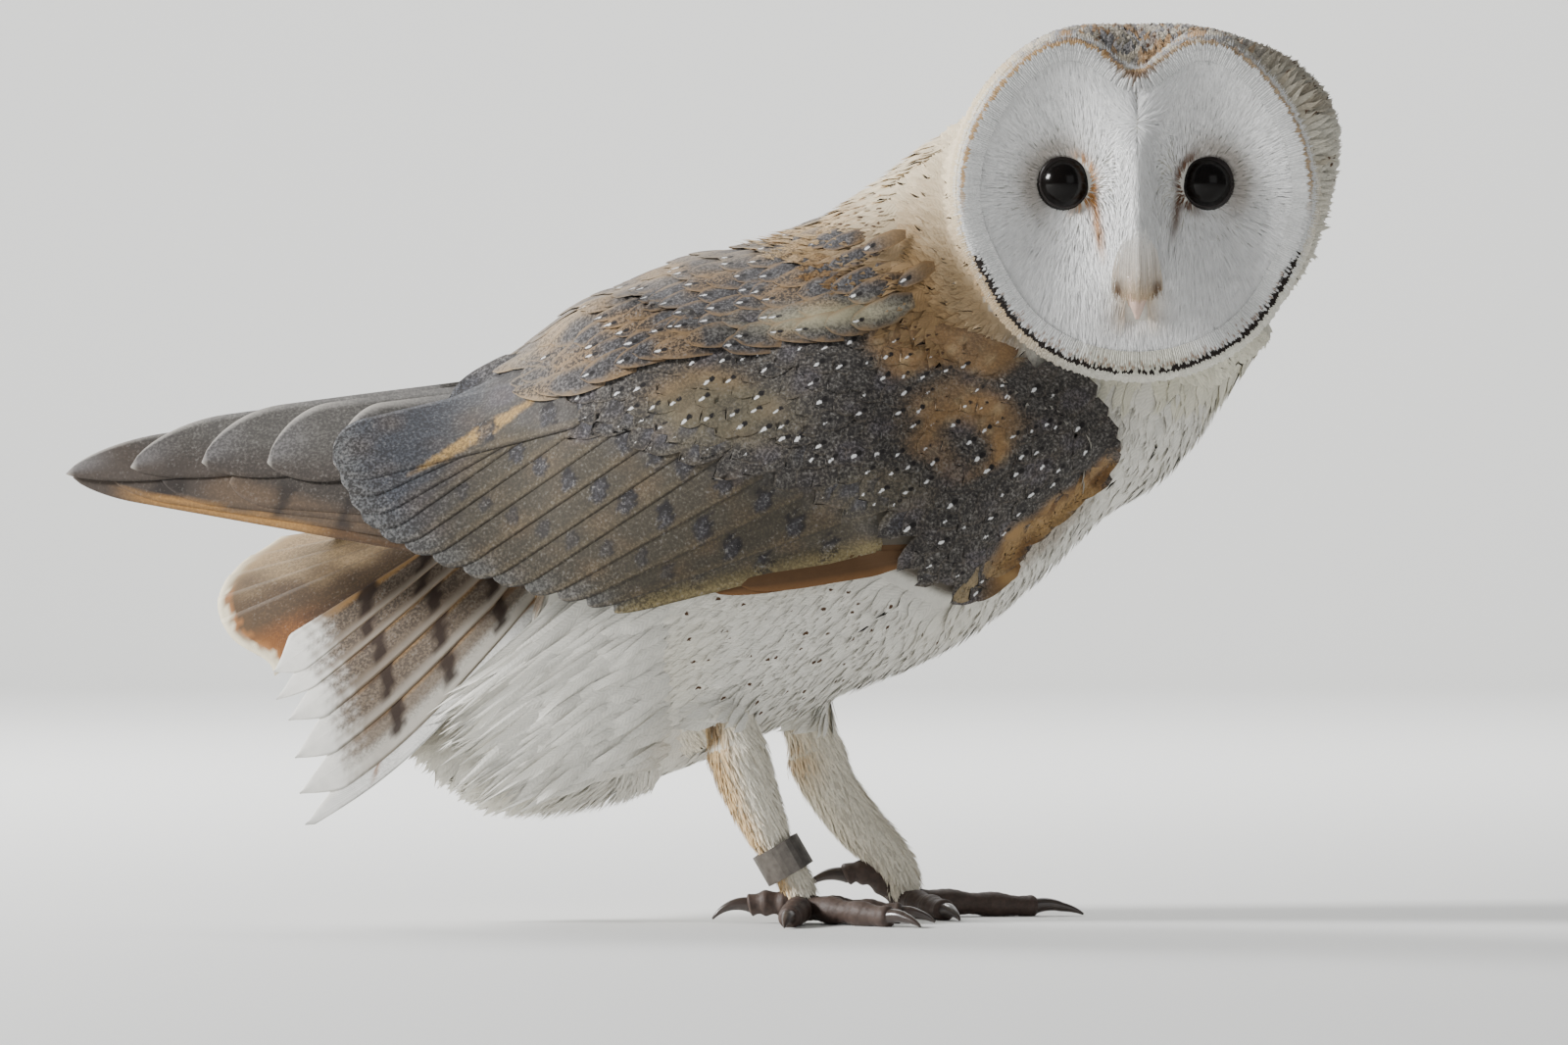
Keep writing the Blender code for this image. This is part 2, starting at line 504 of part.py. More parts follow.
def main():
    for old in list(bpy.data.objects):
        bpy.data.objects.remove(old)
    white = material("white plumage", (0.80, 0.77, 0.70), 0.85)
    buff = material("buff and grey plumage", (0.42, 0.33, 0.24), 0.85)
    barred = material("barred tail plumage", (0.55, 0.42, 0.28), 0.85)
    eye = material("black eye", (0.006, 0.005, 0.005), 0.08)
    bill = material("bill horn", (0.72, 0.55, 0.48), 0.4)
    claw = material("claw horn", (0.06, 0.045, 0.04), 0.3)
    toe = material("toe skin", (0.40, 0.30, 0.27), 0.6)
    metal = material("aluminium ring", (0.62, 0.63, 0.65), 0.35, 1.0)
    make_body(white)
    make_head(white, eye, bill)
    for side, name in ((-1, "right"), (1, "left")):
        make_wing(side, name, buff)
    make_tail(barred)
    make_rump(buff)
    make_thigh("right", THIGH_RIGHT, white)
    make_thigh("left", THIGH_LEFT, white)
    make_foot("right", TARSUS_RIGHT, TOES_RIGHT, white, toe, claw)
    make_foot("left", TARSUS_LEFT, TOES_LEFT, white, toe, claw)
    make_leg_ring(metal)


main()
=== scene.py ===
"""Barn owl, life size, standing with its head turned over its right wing: the looks of the model.

The owl's body points along +X, its right side faces -Y and its feet rest on Z = 0. All lengths
below are in millimetres until a mesh is written, which puts them into metres.
"""

import functools

import bmesh
import bpy
import numpy as np
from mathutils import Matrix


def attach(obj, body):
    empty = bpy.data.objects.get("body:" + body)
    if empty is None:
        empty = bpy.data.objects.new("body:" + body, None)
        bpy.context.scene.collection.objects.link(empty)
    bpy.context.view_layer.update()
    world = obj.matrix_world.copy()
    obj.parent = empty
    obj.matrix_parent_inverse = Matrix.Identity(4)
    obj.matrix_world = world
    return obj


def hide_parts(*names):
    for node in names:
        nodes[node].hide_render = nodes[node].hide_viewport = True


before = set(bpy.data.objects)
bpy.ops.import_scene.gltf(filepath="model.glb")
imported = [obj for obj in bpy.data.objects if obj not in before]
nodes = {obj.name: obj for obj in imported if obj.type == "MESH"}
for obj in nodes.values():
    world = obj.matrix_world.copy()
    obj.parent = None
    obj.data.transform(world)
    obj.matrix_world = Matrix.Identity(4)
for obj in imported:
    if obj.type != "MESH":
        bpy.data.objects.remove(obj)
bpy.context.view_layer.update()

# ---- Studio ----
# A pale floor that curves up into a pale wall far behind, a large soft light up to the left of the
# viewer, a weaker one to the right, and a level long lens.

WALL_AT, WALL_BEND, WALL_TOP, FLOOR_HALF_WIDTH, FLOOR_NEAR = 3.4, 0.6, 4.0, 5.0, -5.0


def floor_sweep():
    """Points (x, y, z): flat at height 0 out to the wall, then a quarter circle, then upright."""
    bend = np.linspace(0, np.pi / 2, 13)
    y = np.concatenate([[FLOOR_NEAR, 0.0], WALL_AT + WALL_BEND * np.sin(bend), [WALL_AT + WALL_BEND]])
    z = np.concatenate([[0.0, 0.0], WALL_BEND * (1 - np.cos(bend)), [WALL_TOP]])
    x = np.array([-FLOOR_HALF_WIDTH, FLOOR_HALF_WIDTH])
    grid = np.stack(np.broadcast_arrays(x[None], y[:, None], z[:, None]), -1)
    corner = np.arange(grid.shape[0] * 2).reshape(-1, 2)
    quads = np.stack([corner[:-1, 0], corner[:-1, 1], corner[1:, 1], corner[1:, 0]], -1)
    mesh = bpy.data.meshes.new("studio_floor")
    mesh.from_pydata(grid.reshape(-1, 3).tolist(), [], quads.tolist())
    mesh.shade_smooth()
    return mesh


def material(name, **sockets):
    """A new material with its shader's sockets set; _ stands for each space in a socket's name."""
    made = bpy.data.materials.new(name)
    made.use_nodes = True
    for socket, value in sockets.items():
        made.node_tree.nodes["Principled BSDF"].inputs[socket.replace("_", " ")].default_value = value
    return made


def placed(data, name, *finishes):
    """A mesh, lens or lamp as an object at the origin, with a mesh's materials."""
    made = bpy.data.objects.new(name, data)
    bpy.context.scene.collection.objects.link(made)
    for finish in finishes:
        data.materials.append(finish)
    return made


paper = material("pale studio paper", Base_Color=(0.80, 0.80, 0.78, 1), Roughness=0.9)
placed(floor_sweep(), "studio_floor", paper)

lens = bpy.data.cameras.new("long_lens")
lens.lens = 200.0
lens.sensor_width = 36.0
lens.clip_start = 0.05
viewer = placed(lens, "viewer")
viewer.location = (0.0232, -2.427, 0.1106)
viewer.rotation_euler = (np.pi / 2, 0, 0)
bpy.context.scene.camera = viewer

owl_middle = (0.02, 0.0, 0.12)
# Each lamp: name, place and aim in metres, watts, and the side of its square.
for lamp_name, place, aimed_at, power, side in (
    ("soft_key", (-2.15, -0.42, 1.15), owl_middle, 112.0, 0.55),
    ("soft_fill", (1.2, -2.2, 0.9), owl_middle, 6.0, 1.4),
    ("soft_back", (-1.0, 1.3, 1.5), owl_middle, 36.0, 0.8),
    ("wall_wash", (0.0, 1.7, 2.4), (0.0, 4.2, 0.2), 110.0, 2.0),
):
    lamp = bpy.data.lights.new(lamp_name, "AREA")
    lamp.energy = power
    lamp.size = side
    lamp_object = placed(lamp, lamp_name)
    lamp_object.location = place
    aim = np.array(aimed_at) - np.array(place)
    tilt = np.arctan2(np.hypot(aim[0], aim[1]), -aim[2])
    lamp_object.rotation_euler = (tilt, 0, np.arctan2(-aim[0], aim[1]))

sky = bpy.data.worlds.new("soft room light")
sky.use_nodes = True
room_light = sky.node_tree.nodes["Background"]
room_light.inputs["Color"].default_value = (0.93, 0.96, 1.0, 1)
room_light.inputs["Strength"].default_value = 0.21
bpy.context.scene.world = sky

# ---- Skin ----
# One unbroken skin under the whole coat: trunk, neck, head, rump, upper arms, thighs and shanks.
# Each is the solid's own shape drawn in by the coat's depth, and all are melted into one surface.

# Outlines seen from the side, as (x, height); widths along the body, as (x, half width).
BACK_LINE = ((-76, 61), (-62, 68), (-50, 80), (-44, 100), (-39, 140), (-33, 166), (-21, 176.5), (-4, 184),
             (11, 187), (23, 190.5), (50, 207), (76, 227), (94, 235), (113, 226), (136, 193), (160, 167))
BELLY_LINE = ((-76, 59), (-70, 47), (-62, 37), (-50, 31.5), (-32, 32), (-13, 38), (11, 47), (39, 61),
              (76, 79), (94, 94), (113, 112), (127, 120.5), (137, 132), (147, 147), (160, 162))
BODY_HALF_WIDTHS = ((-76, 4), (-70, 13), (-58, 20), (-42, 26), (-25, 37), (-4, 43.5), (23, 47.5), (50, 46.5),
                    (76, 41.5), (94, 38), (127, 30), (145, 19), (160, 4))
UPPER_FULLNESS = ((-76, 0.0), (-35, 0.1), (23, 0.0), (76, -0.12), (160, 0.0))
# Middle of the head (x, height). Round it angles run in degrees from straight up, over its left
# side at 90, and radii are in mm: of the facial disc, of the head's outline, and of their bumps.
HEAD_CENTRE = (119.6, 200.1)
DISC_RADIUS, DISC_NOTCH, NOTCH_SPREAD = 48.0, 14.7, 17.0
DISC_CHEEK, CHEEK_PLACE, CHEEK_SPREAD = 1.6, 118.0, 18.0
SKULL_RADIUS, CROWN_DIP, CROWN_SPREAD = 52.3, 3.6, 20.0
NAPE_RUFF, RUFF_PLACE, RUFF_SPREAD = 8.0, 64.0, 24.0
CHIN_RISE, CHIN_SPREAD = 4.5, 60.0
# Y of the disc's rim, of the widest ring behind it and of the back of the head.
RIM_Y, WIDEST_Y, BACK_Y = -44.0, -22.0, 27.0
HOLLOW_DEPTH, HOLLOW_PLACE, HOLLOW_SPREAD = 5.0, (22.0, -2.0), (15.0, 24.0)
RIDGE_HEIGHT, RIDGE_TOP, RIDGE_FOOT = 8.5, 20.0, -31.0
RIDGE_HALF_TOP, RIDGE_HALF_FOOT, RIDGE_FADE_FOOT, RIDGE_FADE_TOP, RIDGE_END = 12.0, 7.0, 9.0, 22.0, 16.0
RIDGE_CREST = 1.35  # how crested the ridge is: 2 is a round bell, 1 a sharp crest
# The folded wing's two edges (x, height), how far each stands from the middle plane (x, y), how
# much its outer face bulges between them, and how far its lower front edge lies closer in.
WING_UPPER = ((113, 132), (104, 144), (86, 154), (58, 163), (39, 166), (12, 164), (-10, 169), (-22, 173),
              (-34, 170), (-48, 159), (-59, 151.5), (-98, 149), (-137, 142), (-167, 132.5), (-176, 126))
WING_LOWER = ((113, 127), (102, 116), (84, 101), (74, 88), (58, 92), (39, 103), (2, 94),
              (-27, 86), (-48, 92), (-86, 104), (-133, 114), (-167, 121.5), (-176, 125.5))
UPPER_EDGE_Y = ((-176, 7), (-98, 4), (-60, 4), (-46, 9), (-33, 20), (-4, 37), (23, 42), (58, 42),
                (104, 38), (113, 35))
LOWER_EDGE_Y = ((-176, 9), (-133, 21), (-86, 33), (-27, 44), (12, 49), (58, 49), (104, 39), (113, 35))
FRONT_TUCK = ((-176, 0), (48, 0), (62, 2), (86, 11), (113, 8))
WING_BULGE = ((-176, 0.5), (-98, 5), (-60, 9), (-30, 12), (12, 12), (58, 10), (104, 4), (113, 0.5))
# Tubes of flesh, each a row of (x, y, height, radius).
RUMP = ((-26, 0, 141, 24), (-42, 0, 126, 18), (-58, 0, 113, 11), (-74, 0, 103, 4))
THIGHS = (((8, -16, 86, 12), (7.5, -20, 63, 10.4), (9.3, -22, 50.2, 9.6)),
          ((27, 15, 84, 12), (29, 18.5, 60, 10.6), (31.5, 20, 47.3, 9.6)))
SHANKS = (((9.3, -22, 50.2, 9.5), (13.4, -22, 37.7, 8.8), (18.4, -22, 26.0, 7.2),
           (21.2, -22, 20.5, 5.9), (26.6, -22, 11.2, 5.9), (28.2, -22, 5.0, 5.6)),
          ((31.5, 20, 47.3, 9.4), (35.4, 20, 37.7, 8.6), (43.4, 20, 26.7, 8.2),
           (51.0, 20, 18.8, 7.4), (55.3, 20, 12.8, 6.8), (56.9, 20, 5.4, 6.0)))
BODY_COAT, HEAD_COAT, WING_COAT, LEG_COAT = 3.0, 1.4, 2.0, 1.2  # how deep each coat is over the skin
VOXEL = 1.35  # cell of the melting, which sets how fine the skin's mesh is


def smooth(points, at):
    """Height of a curve through (place, value) points: a cubic between neighbours, with the slope
    at each point taken from the points on both its sides. Beyond the ends it stays level."""
    place, value = np.array(points, float).T
    order = np.argsort(place)
    place, value = place[order], value[order]
    slope = np.gradient(value, place)
    at = np.clip(at, place[0], place[-1])
    i = np.clip(np.searchsorted(place, at) - 1, 0, len(place) - 2)
    span = place[i + 1] - place[i]
    t = (at - place[i]) / span
    return ((2 * t**3 - 3 * t**2 + 1) * value[i] + (t**3 - 2 * t**2 + t) * span * slope[i]
            + (3 * t**2 - 2 * t**3) * value[i + 1] + (t**3 - t**2) * span * slope[i + 1])


def along(rows, share):
    """Rows of numbers read at a share 0..1 of a smooth line through the given rows."""
    rows = np.array(rows, float)
    steps = np.linspace(0, 1, len(rows))
    return np.stack([smooth(np.stack([steps, column], 1), share) for column in rows.T], -1)


def body_at(x, turn, grow=0.0):
    """Point of the trunk and neck at length x and turn: 0 at the flank, a quarter turn at the back.
    Sideways half width times cosine, up and down half height times sine."""
    top, bottom = smooth(BACK_LINE, x) + grow, smooth(BELLY_LINE, x) - grow
    half = np.maximum(smooth(BODY_HALF_WIDTHS, x) + grow, 0.5)
    y = half * np.cos(turn) * (1 + smooth(UPPER_FULLNESS, x) * np.sin(turn))
    z = (top + bottom) / 2 + np.maximum(top - bottom, 1.0) / 2 * np.sin(turn)
    return np.stack([x, y, z], -1)


def at_head(x, y, z):
    """Points of the head: x and height are measured from its middle, y from the middle plane."""
    return np.stack(np.broadcast_arrays(HEAD_CENTRE[0] + x, y, HEAD_CENTRE[1] + z), -1)


def from_head(place):
    """X and height of places, measured from the middle of the head."""
    return place[..., 0] - HEAD_CENTRE[0], place[..., 2] - HEAD_CENTRE[1]


def bell(away, spread):
    """1 where away is 0, falling off to both sides: e to the minus square of away over spread."""
    return np.exp(-((away / spread) ** 2))


def bump(angle, place, spread):
    """A bell over an angle in degrees, measured the short way round."""
    return bell((angle - place + 180) % 360 - 180, spread)


def disc_edge(angle):
    """Radius of the facial disc's rim: a circle, notched at the brow and drawn in at the cheeks."""
    return (DISC_RADIUS - DISC_NOTCH * bump(angle, 0, NOTCH_SPREAD)
            - DISC_CHEEK * (bump(angle, CHEEK_PLACE, CHEEK_SPREAD) + bump(angle, -CHEEK_PLACE, CHEEK_SPREAD)))


def head_edge(angle):
    """Radius of the head's outline from the front: a circle with a flat crown, the ruff standing
    out on the far side, and the chin drawn in."""
    return (SKULL_RADIUS - CROWN_DIP * bump(angle, 0, CROWN_SPREAD)
            + NAPE_RUFF * bump(angle, RUFF_PLACE, RUFF_SPREAD) - CHIN_RISE * bump(angle, 180, CHIN_SPREAD))


def face_relief(x, z):
    """How far the face stands out in front of its rim: less by a bell round each eye, more by a
    ridge that narrows from the brow to the bill."""
    hollow = bell(np.abs(x) - HOLLOW_PLACE[0], HOLLOW_SPREAD[0]) * bell(z - HOLLOW_PLACE[1], HOLLOW_SPREAD[1])
    down = np.clip((RIDGE_TOP - z) / (RIDGE_TOP - RIDGE_FOOT), 0, 1)
    half = RIDGE_HALF_TOP + (RIDGE_HALF_FOOT - RIDGE_HALF_TOP) * down
    swell = (np.clip((z - RIDGE_FOOT) / RIDGE_FADE_FOOT, 0, 1)
             * np.clip((RIDGE_TOP + RIDGE_END - z) / RIDGE_FADE_TOP, 0, 1))
    return RIDGE_HEIGHT * np.exp(-(np.abs(x / half) ** RIDGE_CREST)) * swell - HOLLOW_DEPTH * hollow


def rim_share(x, z):
    """How far out a place on the face lies: its distance from the middle over the disc's radius."""
    return np.hypot(x, z) / disc_edge(np.degrees(np.arctan2(x, z)))


def face_y(x, z):
    """Depth of the face at a place on it: the rim's, less the relief, which is faded out towards
    the rim by the sixth power of how far out the place lies."""
    return RIM_Y - face_relief(x, z) * (1 - np.clip(rim_share(x, z), 0, 1) ** 6)


def head_shell(grow):
    """Rings out over the facial disc, then by one quarter of an ellipse round its rim to the
    head's widest ring, and by another to the pole behind the head."""
    angle = np.linspace(0, 360, 150, endpoint=False)
    across, up = np.sin(np.radians(angle)), np.cos(np.radians(angle))
    disc, edge = disc_edge(angle) + grow, head_edge(angle) + grow
    r1 = disc * np.linspace(0.01, 1, 42)[:, None]
    y1 = face_y(r1 * across, r1 * up) - grow
    turn = np.linspace(0, np.pi / 2, 15)[1:, None]
    r2 = disc + (edge - disc) * np.sin(turn)
    y2 = RIM_Y - grow + (WIDEST_Y - RIM_Y + grow) * (1 - np.cos(turn)) + 0 * r2
    turn = np.linspace(0, np.pi / 2, 35)[1:, None]
    r3 = edge * np.maximum(np.cos(turn), 0.01)
    y3 = WIDEST_Y + (BACK_Y + grow - WIDEST_Y) * np.sin(turn) + 0 * r3
    r, y = np.concatenate([r1, r2, r3]), np.concatenate([y1, y2, y3])
    return at_head(r * across, y, r * up)


def tube(path, radii, sides=40, crosswise=(0.02, 0.03, 1.0)):
    """Circles square to a path, one at each of its points, starting half a side round from the
    flank. Crosswise is a direction that the path never takes."""
    ahead = np.gradient(path, axis=0)
    ahead /= np.linalg.norm(ahead, axis=1, keepdims=True)
    flank = np.cross(ahead, crosswise)
    flank /= np.linalg.norm(flank, axis=1, keepdims=True)
    crown = np.cross(flank, ahead)
    turn = np.linspace(0, 2 * np.pi, sides, endpoint=False) + np.pi / sides
    return path[:, None] + radii[:, None, None] * (
        np.cos(turn)[:, None] * flank[:, None] + np.sin(turn)[:, None] * crown[:, None])


def wing_depth(x, z):
    """How far the wing's outer face stands from the middle plane at a place seen from the side:
    from the lower edge's distance straight to the upper edge's, with a parabola's bulge between,
    and the lower front edge tucked in."""
    low, high = smooth(WING_LOWER, x), smooth(WING_UPPER, x)
    v = np.clip((z - low) / np.maximum(high - low, 0.5), 0, 1)
    return (smooth(LOWER_EDGE_Y, x) * (1 - v) + smooth(UPPER_EDGE_Y, x) * v
            + smooth(WING_BULGE, x) * 4 * v * (1 - v) - np.maximum(smooth(FRONT_TUCK, x), 0) * (1 - v) ** 1.6)


def arm_shell(side, grow):
    """The arm inside the folded wing: rings out along the outer face and back along the inner. It
    is a third of its height thick, up to a limit, and goes deeper into the breast in front."""
    x = np.linspace(106.0, -44.0, 70)[:, None]
    v = (1 - np.cos(np.linspace(0.12, np.pi - 0.12, 26))) / 2
    low, high = smooth(WING_LOWER, x) - grow + 2.0, smooth(WING_UPPER, x) + grow - 1.0
    z = low + (high - low) * v
    y = wing_depth(x, z) + grow
    in_front = np.minimum(0.35 * (high - low) + 1.2 * (x - 66), 34)
    inwards = np.where(x > 66, in_front, np.minimum(11.0, 0.35 * (high - low)))
    back = y - inwards * np.sqrt(4 * v * (1 - v)) - 0.5
    outer = np.stack(np.broadcast_arrays(x, side * y, z), -1)
    inner = np.stack(np.broadcast_arrays(x, side * back, z), -1)[:, ::-1]
    return np.concatenate([outer, inner], 1)


def closed_shell(rings, start):
    """Vertices and faces of a stack of rings, each end closed by a fan from its middle. The faces
    number the vertices from start."""
    count, sides = rings.shape[:2]
    points = np.concatenate([rings.reshape(-1, 3), [rings[0].mean(0), rings[-1].mean(0)]])
    corner = np.arange(count * sides).reshape(count, sides)
    after = np.roll(corner, -1, 1)
    walls = np.stack([corner[:-1], after[:-1], after[1:], corner[1:]], -1).reshape(-1, 4)
    fans = [np.stack([np.full(sides, count * sides + end), corner[row], after[row]], -1)
            for end, row in ((0, 0), (1, count - 1))]
    return points, (walls + start).tolist() + (np.concatenate(fans) + start).tolist()


def joined(shells, name):
    """One mesh, in metres, of several closed shells, with every face turned outwards."""
    points, faces = [], []
    for shell in shells:
        shell_points, shell_faces = closed_shell(shell, sum(map(len, points)))
        points.append(shell_points)
        faces += shell_faces
    mesh = bpy.data.meshes.new(name)
    mesh.from_pydata((np.concatenate(points) * 0.001).tolist(), [], faces)
    work = bmesh.new()
    work.from_mesh(mesh)
    bmesh.ops.recalc_face_normals(work, faces=work.faces)
    work.to_mesh(mesh)
    work.free()
    mesh.shade_smooth()
    return mesh


BODY_FROM, BODY_LONG = -76, 236
share = (1 - np.cos(np.linspace(0, np.pi, 120))) / 2
body_x = BODY_FROM + BODY_COAT + (BODY_LONG - 2 * BODY_COAT) * share
body_turn = np.linspace(0, 2 * np.pi, 96, endpoint=False)
trunk = body_at(*np.broadcast_arrays(body_x[:, None], body_turn), grow=-BODY_COAT)
flesh = [trunk, head_shell(-HEAD_COAT)]
limbs = [(RUMP, BODY_COAT)] + [(t, BODY_COAT) for t in THIGHS] + [(s, LEG_COAT) for s in SHANKS]
for line, coat in limbs:
    rows = along(line, np.linspace(0, 1, 30))
    flesh.append(tube(rows[:, :3], np.maximum(rows[:, 3] - coat, 1.0)))
flesh += [arm_shell(side, -WING_COAT) for side in (-1, 1)]

skin_source = placed(joined(flesh, "skin_source"), "skin_source")
melt = skin_source.modifiers.new("melt", "REMESH")
melt.mode = "VOXEL"
melt.voxel_size = VOXEL * 0.001
soften = skin_source.modifiers.new("soften", "SMOOTH")
soften.factor = 0.5
soften.iterations = 5
graph = bpy.context.evaluated_depsgraph_get()
skin_mesh = bpy.data.meshes.new_from_object(skin_source.evaluated_get(graph))
bpy.data.objects.remove(skin_source)
skin_mesh.name = "skin"
skin_mesh.shade_smooth()
skin = placed(skin_mesh, "skin")

bpy.context.view_layer.objects.active = skin
skin.select_set(True)
skin_mesh.uv_layers.new(name="OFBake")
bpy.ops.object.mode_set(mode="EDIT")
bpy.ops.mesh.select_all(action="SELECT")
bpy.ops.uv.smart_project(angle_limit=1.2, island_margin=0.001)
bpy.ops.object.mode_set(mode="OBJECT")
skin.select_set(False)

# Colours of the plumage, as light: white, cream, pale gold, golden buff, pepper grey, and browns.
WHITE, CREAM, PALE_GOLD = (0.77, 0.75, 0.68), (0.74, 0.68, 0.52), (0.66, 0.47, 0.25)
GOLD, PEPPER = (0.30, 0.165, 0.062), (0.088, 0.080, 0.072)
BROWN, NEAR_BLACK = (0.085, 0.045, 0.024), (0.018, 0.013, 0.011)
# Where the flank turns from white below to grey above, (x, height).
FLANK_LINE = ((-80, 126), (-60, 114), (-42, 99), (-20, 96), (30, 108), (70, 122), (100, 150), (120, 175))


def ramp(value, low, high):
    """0 below low, 1 above high, and a smooth step between."""
    t = np.clip((value - low) / (high - low), 0, 1)
    return t * t * (3 - 2 * t)


def mixed(first, second, share):
    """Colours between first and second: first times what the share leaves of 1, and second times
    the share, with a share for each point."""
    share = np.asarray(share)[..., None]
    return np.asarray(first, float) * (1 - share) + np.asarray(second, float) * share


def ripple(place, scale, seed=0.0):
    """Slow waves through space, about -1 to 1: a sum of sines along slanted directions."""
    x, y, z = (np.moveaxis(place, -1, 0) / scale) + seed
    return (np.sin(1.7 * x + 2.3 * z + 1.1 * np.sin(1.3 * y + z)) + np.sin(2.9 * z - 1.9 * x + y)
            + np.sin(2.2 * y + 1.4 * x - 0.8 * z)) / 3


def plumage_at(place):
    """Base colour and peppering of the coat at places on the body, in mm. Each colour is laid over
    the last by a share that steps up smoothly across its border: white below the flank line,
    golden on the neck, grey and gold on the back, pale gold on the nape, there partly painted
    sunlight; on the head a mottled crown, a pale ruff on its left and gold on its right."""
    x, y, z = np.moveaxis(place, -1, 0)
    hx, hz = from_head(place)
    wave, fine = ripple(place, 9.0), ripple(place, 2.6, 4.0)
    above = ramp(z - smooth(FLANK_LINE, x), -5, 7)
    breast = ramp(x - (72 + 0.45 * (z - 130)) + 3 * wave, -8, 10)
    colour = mixed(WHITE, CREAM, 0.35 * ramp(ripple(place, 22.0, 3.0), -0.2, 1))
    above_back = z - smooth(BACK_LINE, x)
    back = mixed(GOLD, PALE_GOLD, ramp(above_back, -26, -3))
    neck = ramp(x, 40, 58)
    pepper = above * (1 - neck) * (1 - breast) * (0.55 + 0.4 * wave)
    colour = mixed(colour, mixed(back, (0.36, 0.235, 0.115), neck), above * (1 - breast))
    # By the wing's front edge the breast is darkened brown and grey, and peppered, as painted shade of the
    # wing; under the wing the skin is painted dark, as painted shade.
    beyond = np.maximum(np.maximum(z - smooth(WING_UPPER, x), smooth(WING_LOWER, x) - z), x - 114)
    shade_by_wing = ramp(-beyond + 2.0 * wave, -6, -1) * ramp(x, 74, 86) * ramp(z, 96, 112) * ramp(-x, -116, -108)
    shaded = mixed((0.22, 0.135, 0.06), (0.13, 0.11, 0.09), ramp(z, 122, 140))
    colour = mixed(colour, shaded, 0.5 * shade_by_wing)
    pepper = np.maximum(pepper, 0.3 * shade_by_wing)
    # The nape's pale gold grows towards the back's top line: partly its own colour, partly painted sunlight.
    nape = neck * ramp(above_back, -36, -5)
    colour = mixed(colour, (0.84, 0.73, 0.53), nape * 0.85)
    # Painted shade: skin hidden under the folded wing is painted dark.
    behind = np.where(x > 80, wing_depth(x, z) - 5, 24)
    hidden = ramp(-beyond, 2, 5) * (np.abs(y) > behind) * (x > -60) * (x < 104)
    colour = mixed(colour, (0.10, 0.085, 0.065), hidden)
    on_skull = (np.hypot(hx, hz) < 62) & (z > 150)
    crown = on_skull * ramp(hz, 22, 36) * ramp(y, -47, -42)
    speckle = mixed((0.56, 0.50, 0.40), (0.27, 0.27, 0.295), ramp(fine, -0.35, 0.05))
    speckle = mixed(speckle, (0.38, 0.21, 0.085), ramp(fine + 0.5 * wave, 0.25, 0.5))
    colour = mixed(colour, speckle, crown * 0.9)
    pepper = np.maximum(pepper, crown * 0.6)
    ruff = on_skull * ramp(hx, 20, 38) * ramp(y, -46, -41)
    clouded = ramp(0.6 * wave + 0.35 * fine + 0.02 * hz, 0.1, 1.0)
    colour = mixed(colour, mixed((0.62, 0.59, 0.50), (0.40, 0.35, 0.27), clouded), ruff)
    pepper = pepper * (1 - ruff) + 0.15 * ruff
    cheek = on_skull * ramp(-hx, 24, 40) * ramp(y, -45, -36) * ramp(-np.hypot(hx, hz), -60, -53)
    colour = mixed(colour, mixed((0.72, 0.60, 0.42), (0.40, 0.30, 0.18), ramp(-hz, -2, 26)), cheek * 0.85)
    chin = on_skull * ramp(-hz, 28, 42)
    colour = mixed(colour, (0.74, 0.71, 0.58), chin * ramp(hx, -30, -5))
    return colour, np.clip(pepper, 0, 1)


def link(tree, kind, *values, out=0, **settings):
    """Adds a node, sets or links its inputs in order (None leaves one alone), and gives an output."""
    made = tree.nodes.new(kind)
    for key, value in settings.items():
        setattr(made, key, value)
    for socket, value in zip(made.inputs, values):
        if isinstance(value, bpy.types.NodeSocket):
            tree.links.new(value, socket)
        elif value is not None:
            socket.default_value = value
    return made.outputs[out]


def maths(tree, operation, first, second=0.5, third=0.5, clamp=False):
    """A Math node's value: the operation on first and second, and third where it takes three."""
    return link(tree, "ShaderNodeMath", first, second, third, operation=operation, use_clamp=clamp)


def blended(tree, share, first, second, how="MIX"):
    """A colour between two by a share, or another way of mixing them."""
    made = tree.nodes.new("ShaderNodeMix")
    made.data_type, made.blend_type = "RGBA", how
    for index, value in ((0, share), (6, first), (7, second)):
        if isinstance(value, bpy.types.NodeSocket):
            tree.links.new(value, made.inputs[index])
        else:
            made.inputs[index].default_value = value
    return made.outputs[2]


